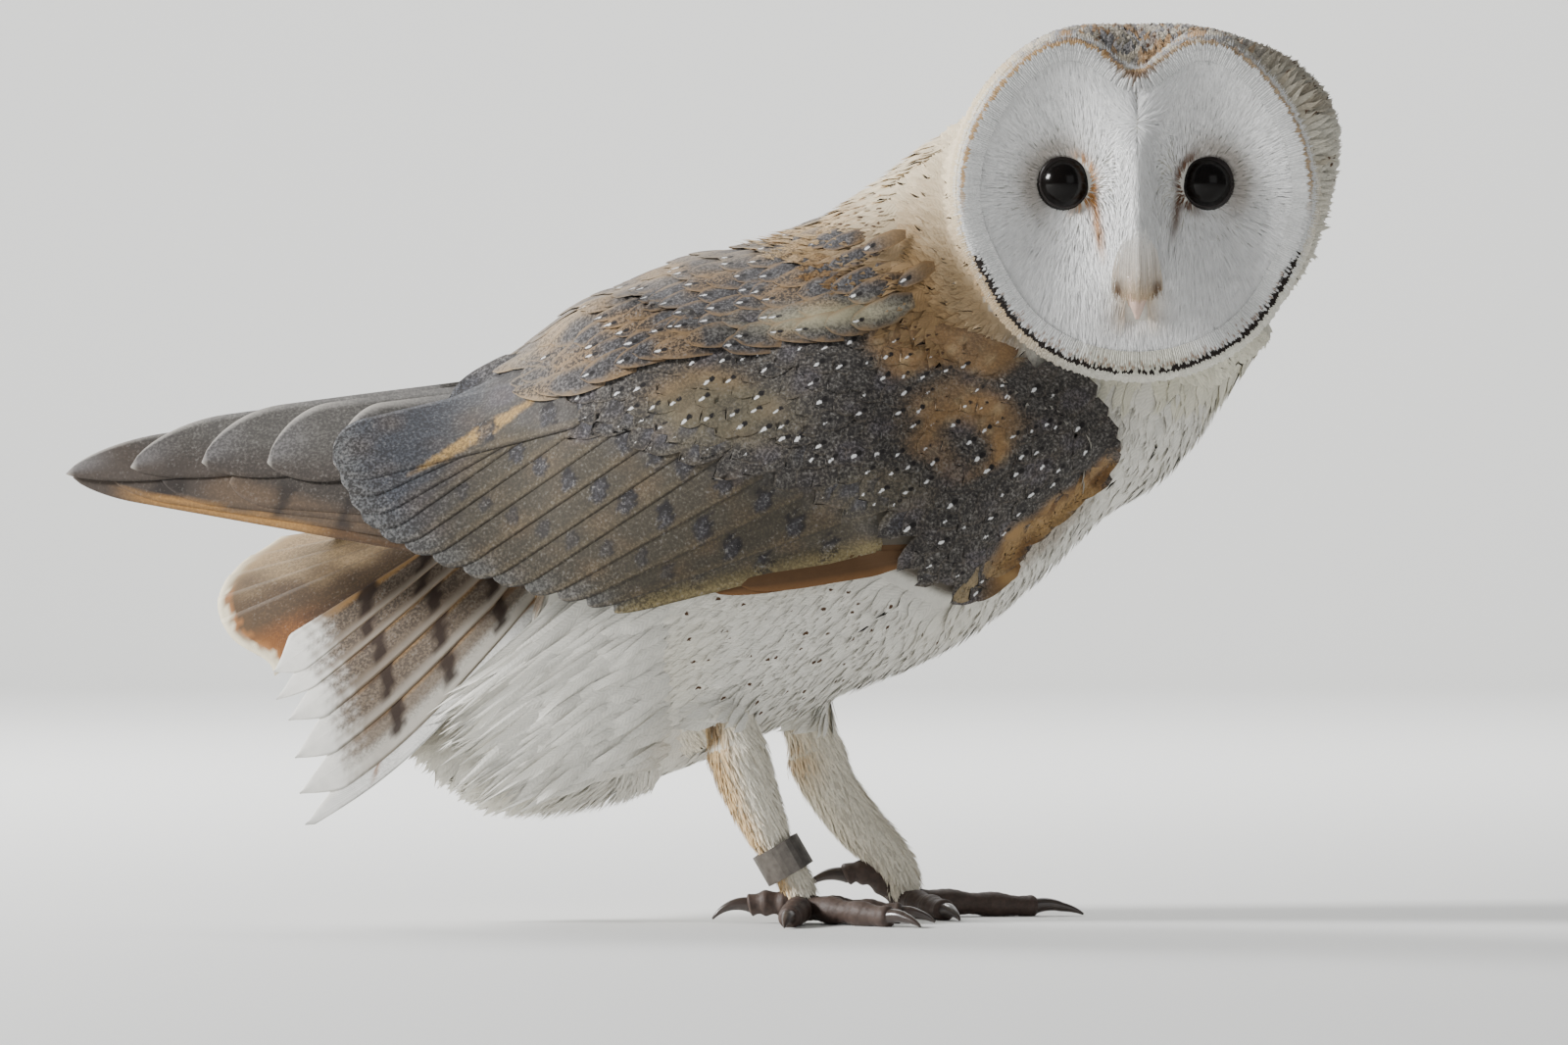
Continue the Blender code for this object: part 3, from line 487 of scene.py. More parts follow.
def plumage_material(name, barbs, roughness=0.75, vane=True):
    """Feather: the point colours, peppered finely where the marks say so by two sizes of noise,
    with a pearl of a white drop and a black blob near the tip, or a small dot, each an ellipse
    with an uneven edge, and barbs that slant out from the shaft as a sine wave of light and dark."""
    made = material(name, Roughness=roughness, Specular_IOR_Level=0.25, Sheen_Weight=0.08,
                    Sheen_Roughness=0.5)
    tree = made.node_tree
    shader = tree.nodes["Principled BSDF"]
    times, plus, less = (functools.partial(maths, tree, how) for how in ("MULTIPLY", "ADD", "SUBTRACT"))
    place = link(tree, "ShaderNodeTexCoord", out=3)
    base = link(tree, "ShaderNodeAttribute", attribute_name="base")
    marks = tree.nodes.new("ShaderNodeAttribute")
    marks.attribute_name = "marks"
    split = tree.nodes.new("ShaderNodeSeparateColor")
    tree.links.new(marks.outputs["Color"], split.inputs[0])
    pepper, pearl, dot = split.outputs
    fine = link(tree, "ShaderNodeTexNoise", place, None, 1300.0, 2.0, 0.6, noise_dimensions="3D")
    coarse = link(tree, "ShaderNodeTexNoise", place, None, 330.0, 2.0, 0.5, noise_dimensions="3D")
    speck = times(less(fine, 0.5), 7.0)
    grain = plus(speck, times(less(coarse, 0.45), 2.2))
    dark = times(plus(grain, 0.35, clamp=True), pepper, clamp=True)
    light = times(less(-0.55, grain, clamp=True), pepper, clamp=True)
    colour = blended(tree, dark, base, (0.026, 0.023, 0.022, 1))
    colour = blended(tree, light, colour, (0.235, 0.225, 0.21, 1))
    uneven = maths(tree, "MULTIPLY_ADD", coarse, 0.24, 0.88)
    if vane:
        across, up, _ = tree.nodes.new("ShaderNodeSeparateXYZ").outputs
        tree.links.new(link(tree, "ShaderNodeUVMap", uv_map="vane"), across.node.inputs[0])
        aside = less(across, 0.5)
        pearl_black, pearl_white = (0.010, 0.008, 0.008, 1), (0.82, 0.82, 0.82, 1)
        for height, tall, wide, tone, amount in (
            (0.72, 0.09, 0.125, pearl_black, pearl),
            (0.87, 0.09, 0.10, pearl_white, pearl),
            (0.87, 0.07, 0.105, (*BROWN, 1), dot),
        ):
            off_up = maths(tree, "DIVIDE", less(up, height), tall)
            off_side = maths(tree, "DIVIDE", aside, wide)
            away = plus(maths(tree, "POWER", off_side, 2.0), maths(tree, "POWER", off_up, 2.0))
            away = plus(away, maths(tree, "MULTIPLY_ADD", fine, 2.4, -1.2))
            spot = times(less(amount, away), 2.0, clamp=True)
            spot = times(spot, times(amount, 20.0, clamp=True))
            colour = blended(tree, spot, colour, tone)
        to_shaft = maths(tree, "ABSOLUTE", aside)
        slant = maths(tree, "MULTIPLY_ADD", to_shaft, -barbs * 0.8, times(up, barbs))
        rib = maths(tree, "SINE", plus(slant, times(coarse, 6.0)))
        uneven = maths(tree, "MULTIPLY_ADD", rib, 0.055, uneven)
        shaft = less(1.0, times(to_shaft, 38.0), clamp=True)
        raise_by = plus(times(rib, 0.5), times(shaft, 1.5))
        bumps = link(tree, "ShaderNodeBump", 0.35, 0.00012, None, raise_by)
    else:
        bumps = link(tree, "ShaderNodeBump", 0.4, 0.0002, None, fine)
    lit = link(tree, "ShaderNodeCombineColor", uneven, uneven, uneven)
    colour = blended(tree, 1.0, colour, lit, "MULTIPLY")
    tree.links.new(colour, shader.inputs["Base Color"])
    tree.links.new(bumps, shader.inputs["Normal"])
    return made


def paint(mesh, base, marks):
    """Writes each point's base colour, and its marks: peppering, pearl and dot."""
    for name, values in (("base", base), ("marks", marks)):
        rgba = np.ones((len(mesh.vertices), 4), np.float32)
        rgba[:, :3] = values.reshape(-1, 3)
        mesh.attributes.new(name, "FLOAT_COLOR", "POINT").data.foreach_set("color", rgba.ravel())


def read_rows(items, attribute, width, kind=np.float32):
    """An attribute of all of a mesh's points, corners or triangles, one row for each."""
    values = np.empty(len(items) * width, kind)
    items.foreach_get(attribute, values)
    return values.reshape(-1, width)


# The skin's points, point normals and triangles, and the triangles' corners on the unwrap.
skin_mesh.calc_loop_triangles()
skin_points = read_rows(skin_mesh.vertices, "co", 3).astype(float) * 1000
skin_normals = read_rows(skin_mesh.vertex_normals, "vector", 3).astype(float)
skin_corners = read_rows(skin_mesh.loop_triangles, "vertices", 3, np.int32)
skin_loops = read_rows(skin_mesh.loop_triangles, "loops", 3, np.int32)
skin_unwrap = read_rows(skin_mesh.uv_layers["OFBake"].data, "uv", 2)[skin_loops]
skin_spots = np.zeros((len(skin_points), 2))
skin_spots[skin_corners.ravel()] = skin_unwrap.reshape(-1, 2)
CUBE = 3.0  # side of the cubes that skin points are sorted into, to find the nearest fast


def cube_key(cells):
    """One number for each cube of the space round the model: x, y and z cell numbers, made
    positive, as the digits of a number to base 2048."""
    return (cells + 512) @ (1, 2048, 4194304)


cells = np.floor(skin_points / CUBE).astype(np.int64)
cube_keys, cube_first = np.unique(cube_key(cells), return_index=True)


def over_skin(place):
    """Height of places over the skin and the skin's place on the unwrap there: the nearest of a
    thinned set of skin points is sought in the 27 cubes round each place, and the height is
    measured along its outward direction. Far from the skin the height is not a number."""
    nearest, best = np.zeros(len(place), np.int64), np.full(len(place), np.inf)
    home = np.floor(place / CUBE).astype(np.int64)
    for step in np.ndindex(3, 3, 3):
        key = cube_key(home + np.array(step) - 1)
        at = np.clip(np.searchsorted(cube_keys, key), 0, len(cube_keys) - 1)
        spot = cube_first[at]
        away = np.where(cube_keys[at] == key, ((place - skin_points[spot]) ** 2).sum(-1), np.inf)
        nearest, best = np.where(away < best, spot, nearest), np.minimum(away, best)
    height = ((place - skin_points[nearest]) * skin_normals[nearest]).sum(-1)
    return np.where(np.isfinite(best), height, np.nan), skin_spots[nearest]


down_material = plumage_material("short down over the skin", 0.0, vane=False)
skin_mesh.materials.append(down_material)
skin_base, skin_pepper = plumage_at(skin_points)
SKIN_SHADE = 0.9  # the skin under the feathers is painted at 0.9 of their colours
on_face = (np.hypot(*from_head(skin_points)) < 50) & (skin_points[:, 1] < -36)
skin_base[on_face] = WHITE
skin_base[skin_points[:, 2] < 60] = (0.84, 0.78, 0.65)
skin_base[(skin_points[:, 0] < -50) & (skin_points[:, 2] > 90)] = (0.36, 0.28, 0.17)
skin_pepper[on_face] = 0
no_marks = np.zeros_like(skin_pepper)
paint(skin_mesh, skin_base * SKIN_SHADE, np.stack([skin_pepper, no_marks, no_marks], -1))
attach(skin, "root")
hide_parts("trunk", "neck", "head", "rump", "thigh_right", "thigh_left", "tarsus_right", "tarsus_left")

# ---- Coat of the body ----
# Soft overlapping feathers, each a thin vane with a frayed tip. They grow from the skin, lie back
# and down over the next ones, and are shortest near the face and longest round the vent.


def scattered(spacing, seed, wanted):
    """Even places on the skin: many random ones, of which each cube of that spacing keeps one.
    Gives place, outward direction and place on the unwrap, where wanted(places) holds."""
    random = np.random.default_rng(seed)
    a, b, c = (skin_points[skin_corners[:, k]] for k in range(3))
    area = np.linalg.norm(np.cross(b - a, c - a), axis=1)
    chosen = np.flatnonzero(wanted((a + b + c) / 3))
    count = int(5 * area[chosen].sum() / 2 / spacing**2)
    face = random.choice(chosen, count, p=area[chosen] / area[chosen].sum())
    u, v = random.random((2, count))
    u, v = np.where(u + v > 1, 1 - u, u), np.where(u + v > 1, 1 - v, v)
    weight = np.stack([1 - u - v, u, v], -1)[..., None]
    corner = skin_corners[face]
    place = (skin_points[corner] * weight).sum(1)
    out = (skin_normals[corner] * weight).sum(1)
    cell = np.floor(place / spacing + random.random(3)).astype(np.int64)
    _, first = np.unique(cell @ (1, 4001, 16008001), return_index=True)
    first = random.permutation(first)
    return (place[first], out[first] / np.linalg.norm(out[first], axis=1, keepdims=True),
            (skin_unwrap[face] * weight).sum(1)[first])


def unit(vectors):
    """Each vector divided by its length."""
    return vectors / np.maximum(np.linalg.norm(vectors, axis=-1, keepdims=True), 1e-9)


def along_skin(lie, out):
    """Directions turned square to the outward ones: less their own share of those, and of length 1."""
    return unit(lie - out * (lie * out).sum(-1, keepdims=True))


def feather_marks(points, pepper, pearl=0.0):
    """Marks at each point of vanes: how peppered it is, and how strong its vane's pearl."""
    marks = np.zeros_like(points)
    marks[..., 0] = pepper
    marks[..., 1] = pearl
    return marks


def vane_grid(rows, columns):
    """Shares at each point of a vane's grid: 0 to 1 down its length, and -1 to 1 across it."""
    return np.meshgrid(np.linspace(0, 1, rows), np.linspace(-1, 1, columns), indexing="ij")


def vane_outline(s, foot, closing, blunt=0.5, least=0.003, widening=2.2):
    """Half width of a vane down its length, as a share: it widens from its foot, holds, and from
    the closing on follows an ellipse to the tip, or a point where blunt is large."""
    end = np.clip((s - closing) / (1 - closing), 0, 1)
    return np.minimum(foot + widening * s, 1) * np.clip(1 - end**2, least, 1) ** blunt


def one_each(values, count):
    """A number, or one for each of so many vanes, set up to be spread over the vanes' points."""
    return np.broadcast_to(np.asarray(values, float), count)[:, None, None]


def laid_out(root, *measures):
    """Points (vane, row, column, xyz) of vanes: their roots, and for each pair of a direction and
    a measure at every point of the grid, the one times the other."""
    points = root[:, None, None]
    for direction, measure in measures:
        points = points + direction[:, None, None] * measure[..., None]
    return points


def vanes(root, lie, out, length, width, rows=5, columns=3, base=-0.3, above=0.9, free=0.0, frayed=0.2,
          blunt=0.5, camber=0.08, seed=0, sway=0.1):
    """Points of many vanes. Each runs its length along its lie and rises evenly from base to above
    over the skin: it sinks with the square of the way gone by what the skin falls away under its
    tip, less the free share. Frayed stretches its columns unevenly, and camber lowers its edges."""
    random = np.random.default_rng(seed + 77)
    n = len(root)
    length, width, above, free = (one_each(values, n) for values in (length, width, above, free))
    s, t = vane_grid(rows, columns)
    lie = along_skin(lie, out)
    flank = np.cross(out, lie)
    lie = unit(lie + flank * random.normal(0, sway, n)[:, None])
    flank = np.cross(out, lie)
    fall = over_skin(root + lie * length[:, :, 0])[0]
    fall = np.where(np.isfinite(fall), fall, 0.004 * length[:, 0, 0] ** 2).clip(-2.5, 5.0)[:, None, None]
    shape = vane_outline(s, 0.45, 0.45, blunt, 0.0025)
    reach = s * (1 + frayed * random.uniform(-1, 1, (n, 1, columns)) * s)
    side = width / 2 * shape * t
    rise = base + (above - base) * reach - (1 - free) * fall * reach**2 - camber * width * t**2 * shape
    return laid_out(root, (lie, length * reach), (flank, side), (out, rise))


def coat_piece(name, points, base, marks, unwrap, finish, patch=0.003):
    """Joins vanes (vane, row, column, xyz) into one piece, coloured at each point. On the bake map
    each vane is a small patch at its root's place on the skin's unwrap."""
    n, rows, columns = points.shape[:3]
    corner = np.arange(n * rows * columns).reshape(n, rows, columns)
    quads = np.stack([corner[:, :-1, :-1], corner[:, 1:, :-1], corner[:, 1:, 1:], corner[:, :-1, 1:]], -1)
    quads = quads.reshape(-1, 4)
    mesh = bpy.data.meshes.new(name)
    mesh.vertices.add(points.size // 3)
    points = np.concatenate([points[..., :2], np.maximum(points[..., 2:], 0.3)], -1)
    mesh.vertices.foreach_set("co", (points * 0.001).astype(np.float32).ravel())
    mesh.loops.add(quads.size)
    mesh.loops.foreach_set("vertex_index", quads.astype(np.int32).ravel())
    mesh.polygons.add(len(quads))
    mesh.polygons.foreach_set("loop_start", np.arange(0, quads.size, 4, dtype=np.int32))
    mesh.update(calc_edges=True)
    s, t = vane_grid(rows, columns)
    local = np.broadcast_to(np.stack([(t + 1) / 2, s], -1), (n, rows, columns, 2))
    spot = np.broadcast_to(unwrap[:, None, None], local.shape) + (local - 0.5) * patch
    # The second map runs down each vane by its real size: 1 is 8 mm across and 13 mm along, with
    # the tip at 1 and the shaft at a half.
    long = np.linalg.norm(points[:, -1].mean(1) - points[:, 0].mean(1), axis=-1)[:, None, None]
    wide = np.linalg.norm(points[:, rows // 2, -1] - points[:, rows // 2, 0], axis=-1)[:, None, None]
    sized = np.stack([0.5 + (local[..., 0] - 0.5) * wide / 8.0, 1 - (1 - local[..., 1]) * long / 13.0], -1)
    for map_name, uv in (("OFBake", spot), ("vane", sized)):
        at_corners = uv.reshape(-1, 2)[quads.ravel()].astype(np.float32)
        mesh.uv_layers.new(name=map_name).data.foreach_set("uv", at_corners.ravel())
    paint(mesh, np.broadcast_to(base, points.shape), np.broadcast_to(marks, points.shape))
    mesh.shade_smooth()
    made = placed(mesh, name, finish)
    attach(made, "root")
    return made


def coloured(root, seed, rows, columns, dots=0.0, painted_root_shade=0.0):
    """Base colour and marks for vanes from their roots' places, a little different from one to the
    next. A share of them, dots, ends in a small dark spot. A step makes each vane darker towards its
    root and lighter towards its tip: painted shade under the overlapping vanes."""
    random = np.random.default_rng(seed + 5)
    base, pepper = plumage_at(root)
    base = base * random.normal(1, 0.04, (len(root), 1)).clip(0.85, 1.15)
    base = np.broadcast_to(base[:, None, None], (len(root), rows, columns, 3)).copy()
    s, _ = vane_grid(rows, columns)
    # Painted light and shade: each vane is darker towards its root, as shade under the overlapping vanes, and
    # lighter towards its tip.
    base *= (1 + painted_root_shade * (s - 0.5))[None, ..., None]
    marks = np.zeros((len(root), rows, columns, 3))
    marks[..., 0] = pepper[:, None, None]
    marks[..., 2] = ((random.random(len(root)) < dots) * random.uniform(0.7, 1.2, len(root)))[:, None, None]
    return base, marks


def head_distance(place):
    """Distance from the middle of the head, seen from the side."""
    return np.hypot(*from_head(place))


def on_head(place):
    """The head's own feathers: a circle seen from the side, a smaller one on the far side."""
    far = head_distance(place)
    _, y, z = place.T
    return (far < 62) & (z > 152) & (y < 28) & ((y < -10) | (far < 53))


def under_wing(place):
    """Between the wing's edges and out from the middle plane by more than a limit: hidden by the
    folded wing and so left bare, apart from a border."""
    x, y, z = place.T
    low = smooth(WING_LOWER, x)
    high = smooth(WING_UPPER, x) - 1 - 2 * ramp(x, 74, 84) + 5 * ramp(x, 84, 94)
    by_edge = np.minimum(22, smooth(LOWER_EDGE_Y, x) - 12)
    inside = np.where(x > 84, wing_depth(x, z) - 5.5, by_edge)
    return (x < 109) & (x > -60) & (z < high) & (z > low + 1) & (abs(y) > inside)


def lie_at(place):
    """Which way feathers lie: back and a little down the body, and more steeply by a share for
    each of the neck and breast, the legs, and the vent."""
    x, _, z = place.T
    neck = ramp(x, 45, 80)
    leg = ramp(52 - z, -6, 6) * (np.abs(x - 25) < 45) * (z < 60)
    vent = ramp(-x, -10, 55)
    back = -0.92 + 0.45 * neck + 0.62 * leg + 0.2 * vent
    return np.stack([back, 0 * x, -0.32 - 0.55 * neck - 0.6 * leg - 0.45 * vent], -1)


feather_material = plumage_material("soft body feathers", 60.0, roughness=0.85)


def body_feathers(name, spacing, seed, wanted, length, width, columns=3, dots=0.0, **shape):
    """One piece of coat over the wanted part of the body, painted 0.06 lighter at the tips than at
    the roots as painted shade under the overlapping feathers. Length, width and shape are
    numbers, or functions of place."""
    root, out, unwrap = scattered(spacing, seed, wanted)
    size = np.random.default_rng(seed + 9).uniform(0.85, 1.2, len(root))
    long = (length(root) if callable(length) else length) * size
    wide = (width(root) if callable(width) else width) * size
    shape = {key: value(root) if callable(value) else value for key, value in shape.items()}
    points = vanes(root, lie_at(root), out, long, wide, 5, columns, seed=seed, **shape)
    base, marks = coloured(root, seed, 5, columns, dots, painted_root_shade=0.06)
    coat_piece(name, points, base, marks, unwrap, feather_material)


# Middle of the back over the mantle, and the mantle's lower edge on the wing, (x, height).
MANTLE_TOP = ((-110, 138), (-98, 141), (-75, 145.5), (-59, 152.5), (-48, 160.5), (-34, 171.5), (-21, 177),
              (-4, 184.5), (11, 187.5), (23, 191), (50, 207.5), (76, 227.5), (94, 235))
MANTLE_EDGE = ((-110, 132), (-98, 136), (-75, 141), (-58.7, 146.5), (-42, 149), (-9.6, 158.5), (20, 162.4),
               (42.6, 164.6), (70, 174), (94, 180))


def up_mantle(x, z):
    """How far up the mantle a height lies, from 0 at its lower edge to 1 at the middle of the back."""
    return (z - smooth(MANTLE_EDGE, x)) / (smooth(MANTLE_TOP, x) - smooth(MANTLE_EDGE, x))


def is_trunk(place):
    """Trunk and neck, less the head, the shanks and what wings and mantle hide."""
    x, y, z = place.T
    under_mantle = (z > smooth(MANTLE_EDGE, x) + 3) & (x < 55 - 37 * up_mantle(x, z))
    leg = (z < 58) & (abs(y) > 11) & (x > -4) & (x < 66)
    return ~on_head(place) & ~under_wing(place) & ~under_mantle & ~leg & (z > 30)


def is_neck(place):
    """The trunk in front of the mantle and the flank."""
    x, _, z = place.T
    return is_trunk(place) & (x > np.where(z > 150, 20, 52))


def is_belly(place):
    """The trunk below the flank line, without the top of the rump."""
    x, _, z = place.T
    return is_trunk(place) & (x <= 54) & (z < smooth(FLANK_LINE, x) + 12) & ((x > -52) | (z < 85))


def is_vent(place):
    """Below a line that rises to the rear, from between the legs to under the tail."""
    x, _, z = place.T
    return (x < 2) & (z < 62 - 0.9 * (x + 30)) & (z < 90) & (z < np.where(x > -30, 66, 90))


def is_rear(place):
    """The trunk above the flank line, behind the neck."""
    x, _, z = place.T
    return is_trunk(place) & (x <= 54) & (x > -50) & (z >= smooth(FLANK_LINE, x) + 12) & (z < 150)


def over_edges(place):
    """How high neck feathers stand: 2.3 mm, and up to 2.2 mm more in front of the mantle and over
    the wing's upper edge, each by a smooth step of the distance from it."""
    x, y, z = place.T
    share = up_mantle(x, z)
    at_mantle = ramp(-np.abs(x - (60 - 37 * share)), -14, -6) * (share > -0.1)
    at_wing = ramp(-np.abs(z - smooth(WING_UPPER, x) - 2), -12, -5) * (np.abs(y) > 20)
    return 2.3 + 2.2 * np.maximum(at_mantle, at_wing * ramp(x, 50, 62) * ramp(-x, -90, -78))


body_feathers("neck_feathers", 2.4, 11, is_neck, 9.5, 4.4, above=over_edges, frayed=0.25)
body_feathers("belly_feathers", 2.0, 12, is_belly, lambda p: 11 + 5 * ramp(-p[:, 0], 0, 55), 3.4, above=1.7,
              frayed=0.10, blunt=0.7, camber=0.03)


def is_spotted(place):
    """The golden sides of the neck, below the nape."""
    x, _, z = place.T
    return is_neck(place) & (x > 44) & (x < 90) & (z > 150) & (smooth(BACK_LINE, x) - z > 5)


def is_flank(place):
    """The belly under the wing and the lower breast."""
    x, _, z = place.T
    return (x > 2) & (x < 76) & (z > 62) & (z < smooth(FLANK_LINE, x) + 8) & ~under_wing(place)


# Feathers that end in a small dark spot lie on top of the others, each by itself.
body_feathers("neck_spots", 5.4, 16, is_spotted, 8.0, 3.6, above=lambda p: over_edges(p) + 0.5, frayed=0.1,
              blunt=0.35, dots=0.85)
body_feathers("belly_spots", 7.0, 17, is_flank, 9.0, 3.4, above=2.5, frayed=0.1, blunt=0.35, dots=0.75)
body_feathers("vent_fluff", 1.3, 14, is_vent, lambda p: 9.5 + 3.5 * ramp(-p[:, 0], 10, 60), 0.85, columns=2,
              above=lambda p: 2.6 + 2.6 * ramp(smooth(BELLY_LINE, p[:, 0]) + 18 - p[:, 2], 0, 12),
              free=0.55, frayed=0.1, blunt=1.0, camber=0.0, sway=0.22)
body_feathers("back_down", 3.4, 13, is_rear, 13.0, 6.5, above=1.8)

# Long soft plumes from both flanks hang over the tail's outer edges and end in a ragged hem.
random = np.random.default_rng(15)
plumes, plume_rows = 1500, 7
place, late = random.uniform(0, 1, (2, plumes))
flank_side = np.where(np.arange(plumes) % 2, 1.0, -1.0)
root_x = -4 - 26 * late - 4 * place
root_z = 92 - 46 * place + 4 * late + random.normal(0, 3, plumes)
tip_x = -70 + 16 * place**2 + 30 * (1 - late) ** 1.5 + random.normal(0, 2.5, plumes)
tip_z = 61 - 28 * place + 12 * (1 - late) ** 1.5 + random.normal(0, 2.5, plumes)
middle_z = (smooth(BACK_LINE, root_x) + smooth(BELLY_LINE, root_x)) / 2
half_z = (smooth(BACK_LINE, root_x) - smooth(BELLY_LINE, root_x)) / 2
round_trunk = np.sqrt(np.clip(1 - ((root_z - middle_z) / half_z) ** 2, 0.05, 1))
root_y = smooth(BODY_HALF_WIDTHS, root_x) * round_trunk - 4.5
tip_y = np.maximum(root_y * 0.62, 23) + random.normal(0, 1.0, plumes)
root = np.stack([root_x, flank_side * root_y, root_z], -1)
run = np.stack([tip_x, flank_side * tip_y, tip_z], -1) - root
s, t = vane_grid(plume_rows, 3)
outwards = unit(np.stack([0 * root_x, flank_side, -0.25 + 0 * root_x], -1))
edgewise = unit(np.cross(outwards, run))
shape = np.minimum(0.5 + 2 * s, 1) * np.clip(1 - s**3, 0.01, 1) * random.uniform(1.0, 1.9, (plumes, 1, 1))
bulge = 5.5 * np.sin(np.pi * s**0.8) * random.uniform(0.7, 1.1, (plumes, 1, 1))
reach = s * (1 + 0.08 * random.uniform(-1, 1, (plumes, 1, 3)) * s)
sag = np.array((0, 0, 1.6)) * (s**2)[..., None]
points = laid_out(root, (run, reach), (edgewise, shape * t), (outwards, bulge - 0.15 * t**2)) - sag
base = np.array(WHITE) * random.normal(0.98, 0.07, (plumes, 1, 1, 1)).clip(0.75, 1.08)
coat_piece("undertail_plumes", points, base, 0.0, over_skin(root)[1], feather_material)

# ---- Legs ----
# The shanks are clothed to the toes in short bristly white feathers, golden down the back.


def is_shank(place):
    """Below the belly feathers, a little lower away from the shank, and above the toes."""
    x, _, z = place.T
    return (z < 62 - 0.1 * np.abs(x - 20)) & (z > 3.5) & (np.abs(x - 32) < 38) & (z < 56 + 0.2 * x)


root, out, unwrap = scattered(1.0, 31, is_shank)
size = np.random.default_rng(32).uniform(0.7, 1.3, len(root))
lower = ramp(45 - root[:, 2], 0, 30)
lie = np.stack([0.40 + 0 * size, 0 * size, -0.9 + 0 * size], -1)
points = vanes(root, lie, out, (5.0 - 1.8 * lower) * size, 0.62 * size, 4, 2, above=0.75 * size, base=-0.2,
               free=0.15, blunt=0.9, seed=33, sway=0.16)
SHANK_WHITE, SHANK_GOLD, SHANK_BUFF = (0.90, 0.85, 0.72), (0.68, 0.46, 0.21), (0.60, 0.38, 0.15)
x, y, z = root.T
base = mixed(SHANK_WHITE, SHANK_GOLD, 0.9 * ramp(-out[:, 0], -0.1, 0.7) * ramp(-y, -30, 25))
base = mixed(base, SHANK_BUFF, 0.6 * ramp(y, 5, 12) * bell(x - 26, 6.0) * bell(z - 46, 6.0))
base = mixed(base, BROWN, 0.85 * bell(x - 3.5, 2.4) * bell(z - 56, 2.6) * (y < 0))
base = base * size.clip(0.88, 1.05)[:, None]
coat_piece("shank_feathers", points, base[:, None, None], 0.0, unwrap, feather_material)

# ---- Face ----
# The heart-shaped disc: fine white filaments that stream away from the eyes to the rim, and on
# the ridge between the eyes down to the bill. Rust lies in front of each eye and grey behind it.

EYE_SPACING, EYE_RISE, EYE_RADIUS, EYE_Y = 39.2, 3.5, 7.9, -37.0
HAIRS = 44000
SUNLIT_RUST, SHADED_RUST = (0.50, 0.24, 0.075), (0.16, 0.075, 0.035)
FACE_WHITE, BEHIND_EYE, BILL_CREAM = (0.94, 0.94, 0.93), (0.36, 0.29, 0.22), (0.66, 0.50, 0.30)


def face_colour(x, z):
    """White, rusty in an arc and a streak from each eye's inner corner to the bill, grey-brown
    behind each eye, and golden cream towards the bill, each laid on by a bell of the distance. The
    rust is a brighter orange on the side of negative x, as painted sunlight, and darker on the
    other, as painted shade."""
    ex, ez = np.abs(x) - EYE_SPACING / 2, z - EYE_RISE
    from_eye = np.hypot(ex, ez)
    colour = mixed(FACE_WHITE, BEHIND_EYE, 0.62 * bell(from_eye - 7.5, 3.4) * ramp(ex + 0.5 * ez, -5, 6))
    rust = bell(from_eye - 6.7, 1.1) * ramp(-ex, 0, 5)
    down = np.clip((EYE_RISE - 4 - z) / 17, 0, 1)
    end = np.where(x < 0, -16.0, -12.0)
    from_streak = np.abs(x) - (12.8 - 3.4 * down)
    streak = bell(from_streak, 1.1) * ramp(EYE_RISE - 2 - z, 0, 3) * ramp(z - end, 0, 8)
    # Painted light and shade: the rust is a brighter copy on the side of negative x and a darker copy on the
    # other.
    tone = np.where(x[..., None] < 0, SUNLIT_RUST, SHADED_RUST)
    colour = mixed(colour, tone, np.clip(rust + 0.9 * streak, 0, 1))
    return mixed(colour, BILL_CREAM, 0.8 * bell(x, 5.5) * ramp(-z, 13, 24) * ramp(z, -36, -30))


random = np.random.default_rng(41)
angle = random.uniform(-180, 180, HAIRS)
r = disc_edge(angle) * np.sqrt(random.random(HAIRS)) * 0.975
x, z = r * np.sin(np.radians(angle)), r * np.cos(np.radians(angle))
side = np.where(x < 0, -1.0, 1.0)
from_eye = np.hypot(np.abs(x) - EYE_SPACING / 2, z - EYE_RISE)
clear = (from_eye > EYE_RADIUS - 1.5) & ~((np.abs(x) < 3.2) & (z < -24) & (z > -34))
x, z, side, from_eye = x[clear], z[clear], side[clear], from_eye[clear]
way = unit(np.stack([x - side * EYE_SPACING * 0.42, z - EYE_RISE * 0.4], -1))
ridge = bell(x, 8.0) * ramp(26 - z, 0, 10)
brow = bell(x, 11.0) * ramp(z, 16, 28)
way = way * (1 - ridge)[:, None] + ridge[:, None] * np.stack([0.34 * side * np.abs(x) / 6, -1 + 0 * x], -1)
parting = 1.1 * bell(z - 22, 5.5)
way = unit(way * (1 - brow)[:, None] + brow[:, None] * np.stack([0.05 * x, 1 + 0 * x], -1)
           + (side * parting * np.maximum(ridge, brow))[:, None] * (1, 0))
step = 0.4
fx = (face_y(x + step, z) - face_y(x - step, z)) / (2 * step)
fz = (face_y(x, z + step) - face_y(x, z - step)) / (2 * step)
out = unit(np.stack([fx, -1 + 0 * fx, fz], -1))
root = at_head(x, face_y(x, z), z) - 1.3 * out
lie = np.stack([way[:, 0], fx * way[:, 0] + fz * way[:, 1], way[:, 1]], -1)
size = random.uniform(0.7, 1.3, len(x))
near_rim = ramp(rim_share(x, z), 0.85, 0.97)
long = (2.6 + 3.4 * ramp(from_eye, 7, 24)) * size * (1 - 0.3 * ridge) * (1 - 0.45 * near_rim)
points = vanes(root, lie, out, long, 0.30, 3, 2, base=0.1, above=1.35 * size.clip(0.85, 1.15), frayed=0.1,
               blunt=0.8, seed=42, camber=0)
base = face_colour(x, z) * random.normal(1, 0.05, (len(x), 1)).clip(0.85, 1.1)
hair_material = plumage_material("fine white face filaments", 0.0, roughness=0.7, vane=False)
coat_piece("face_filaments", points, base[:, None, None], 0.0, over_skin(root)[1], hair_material)

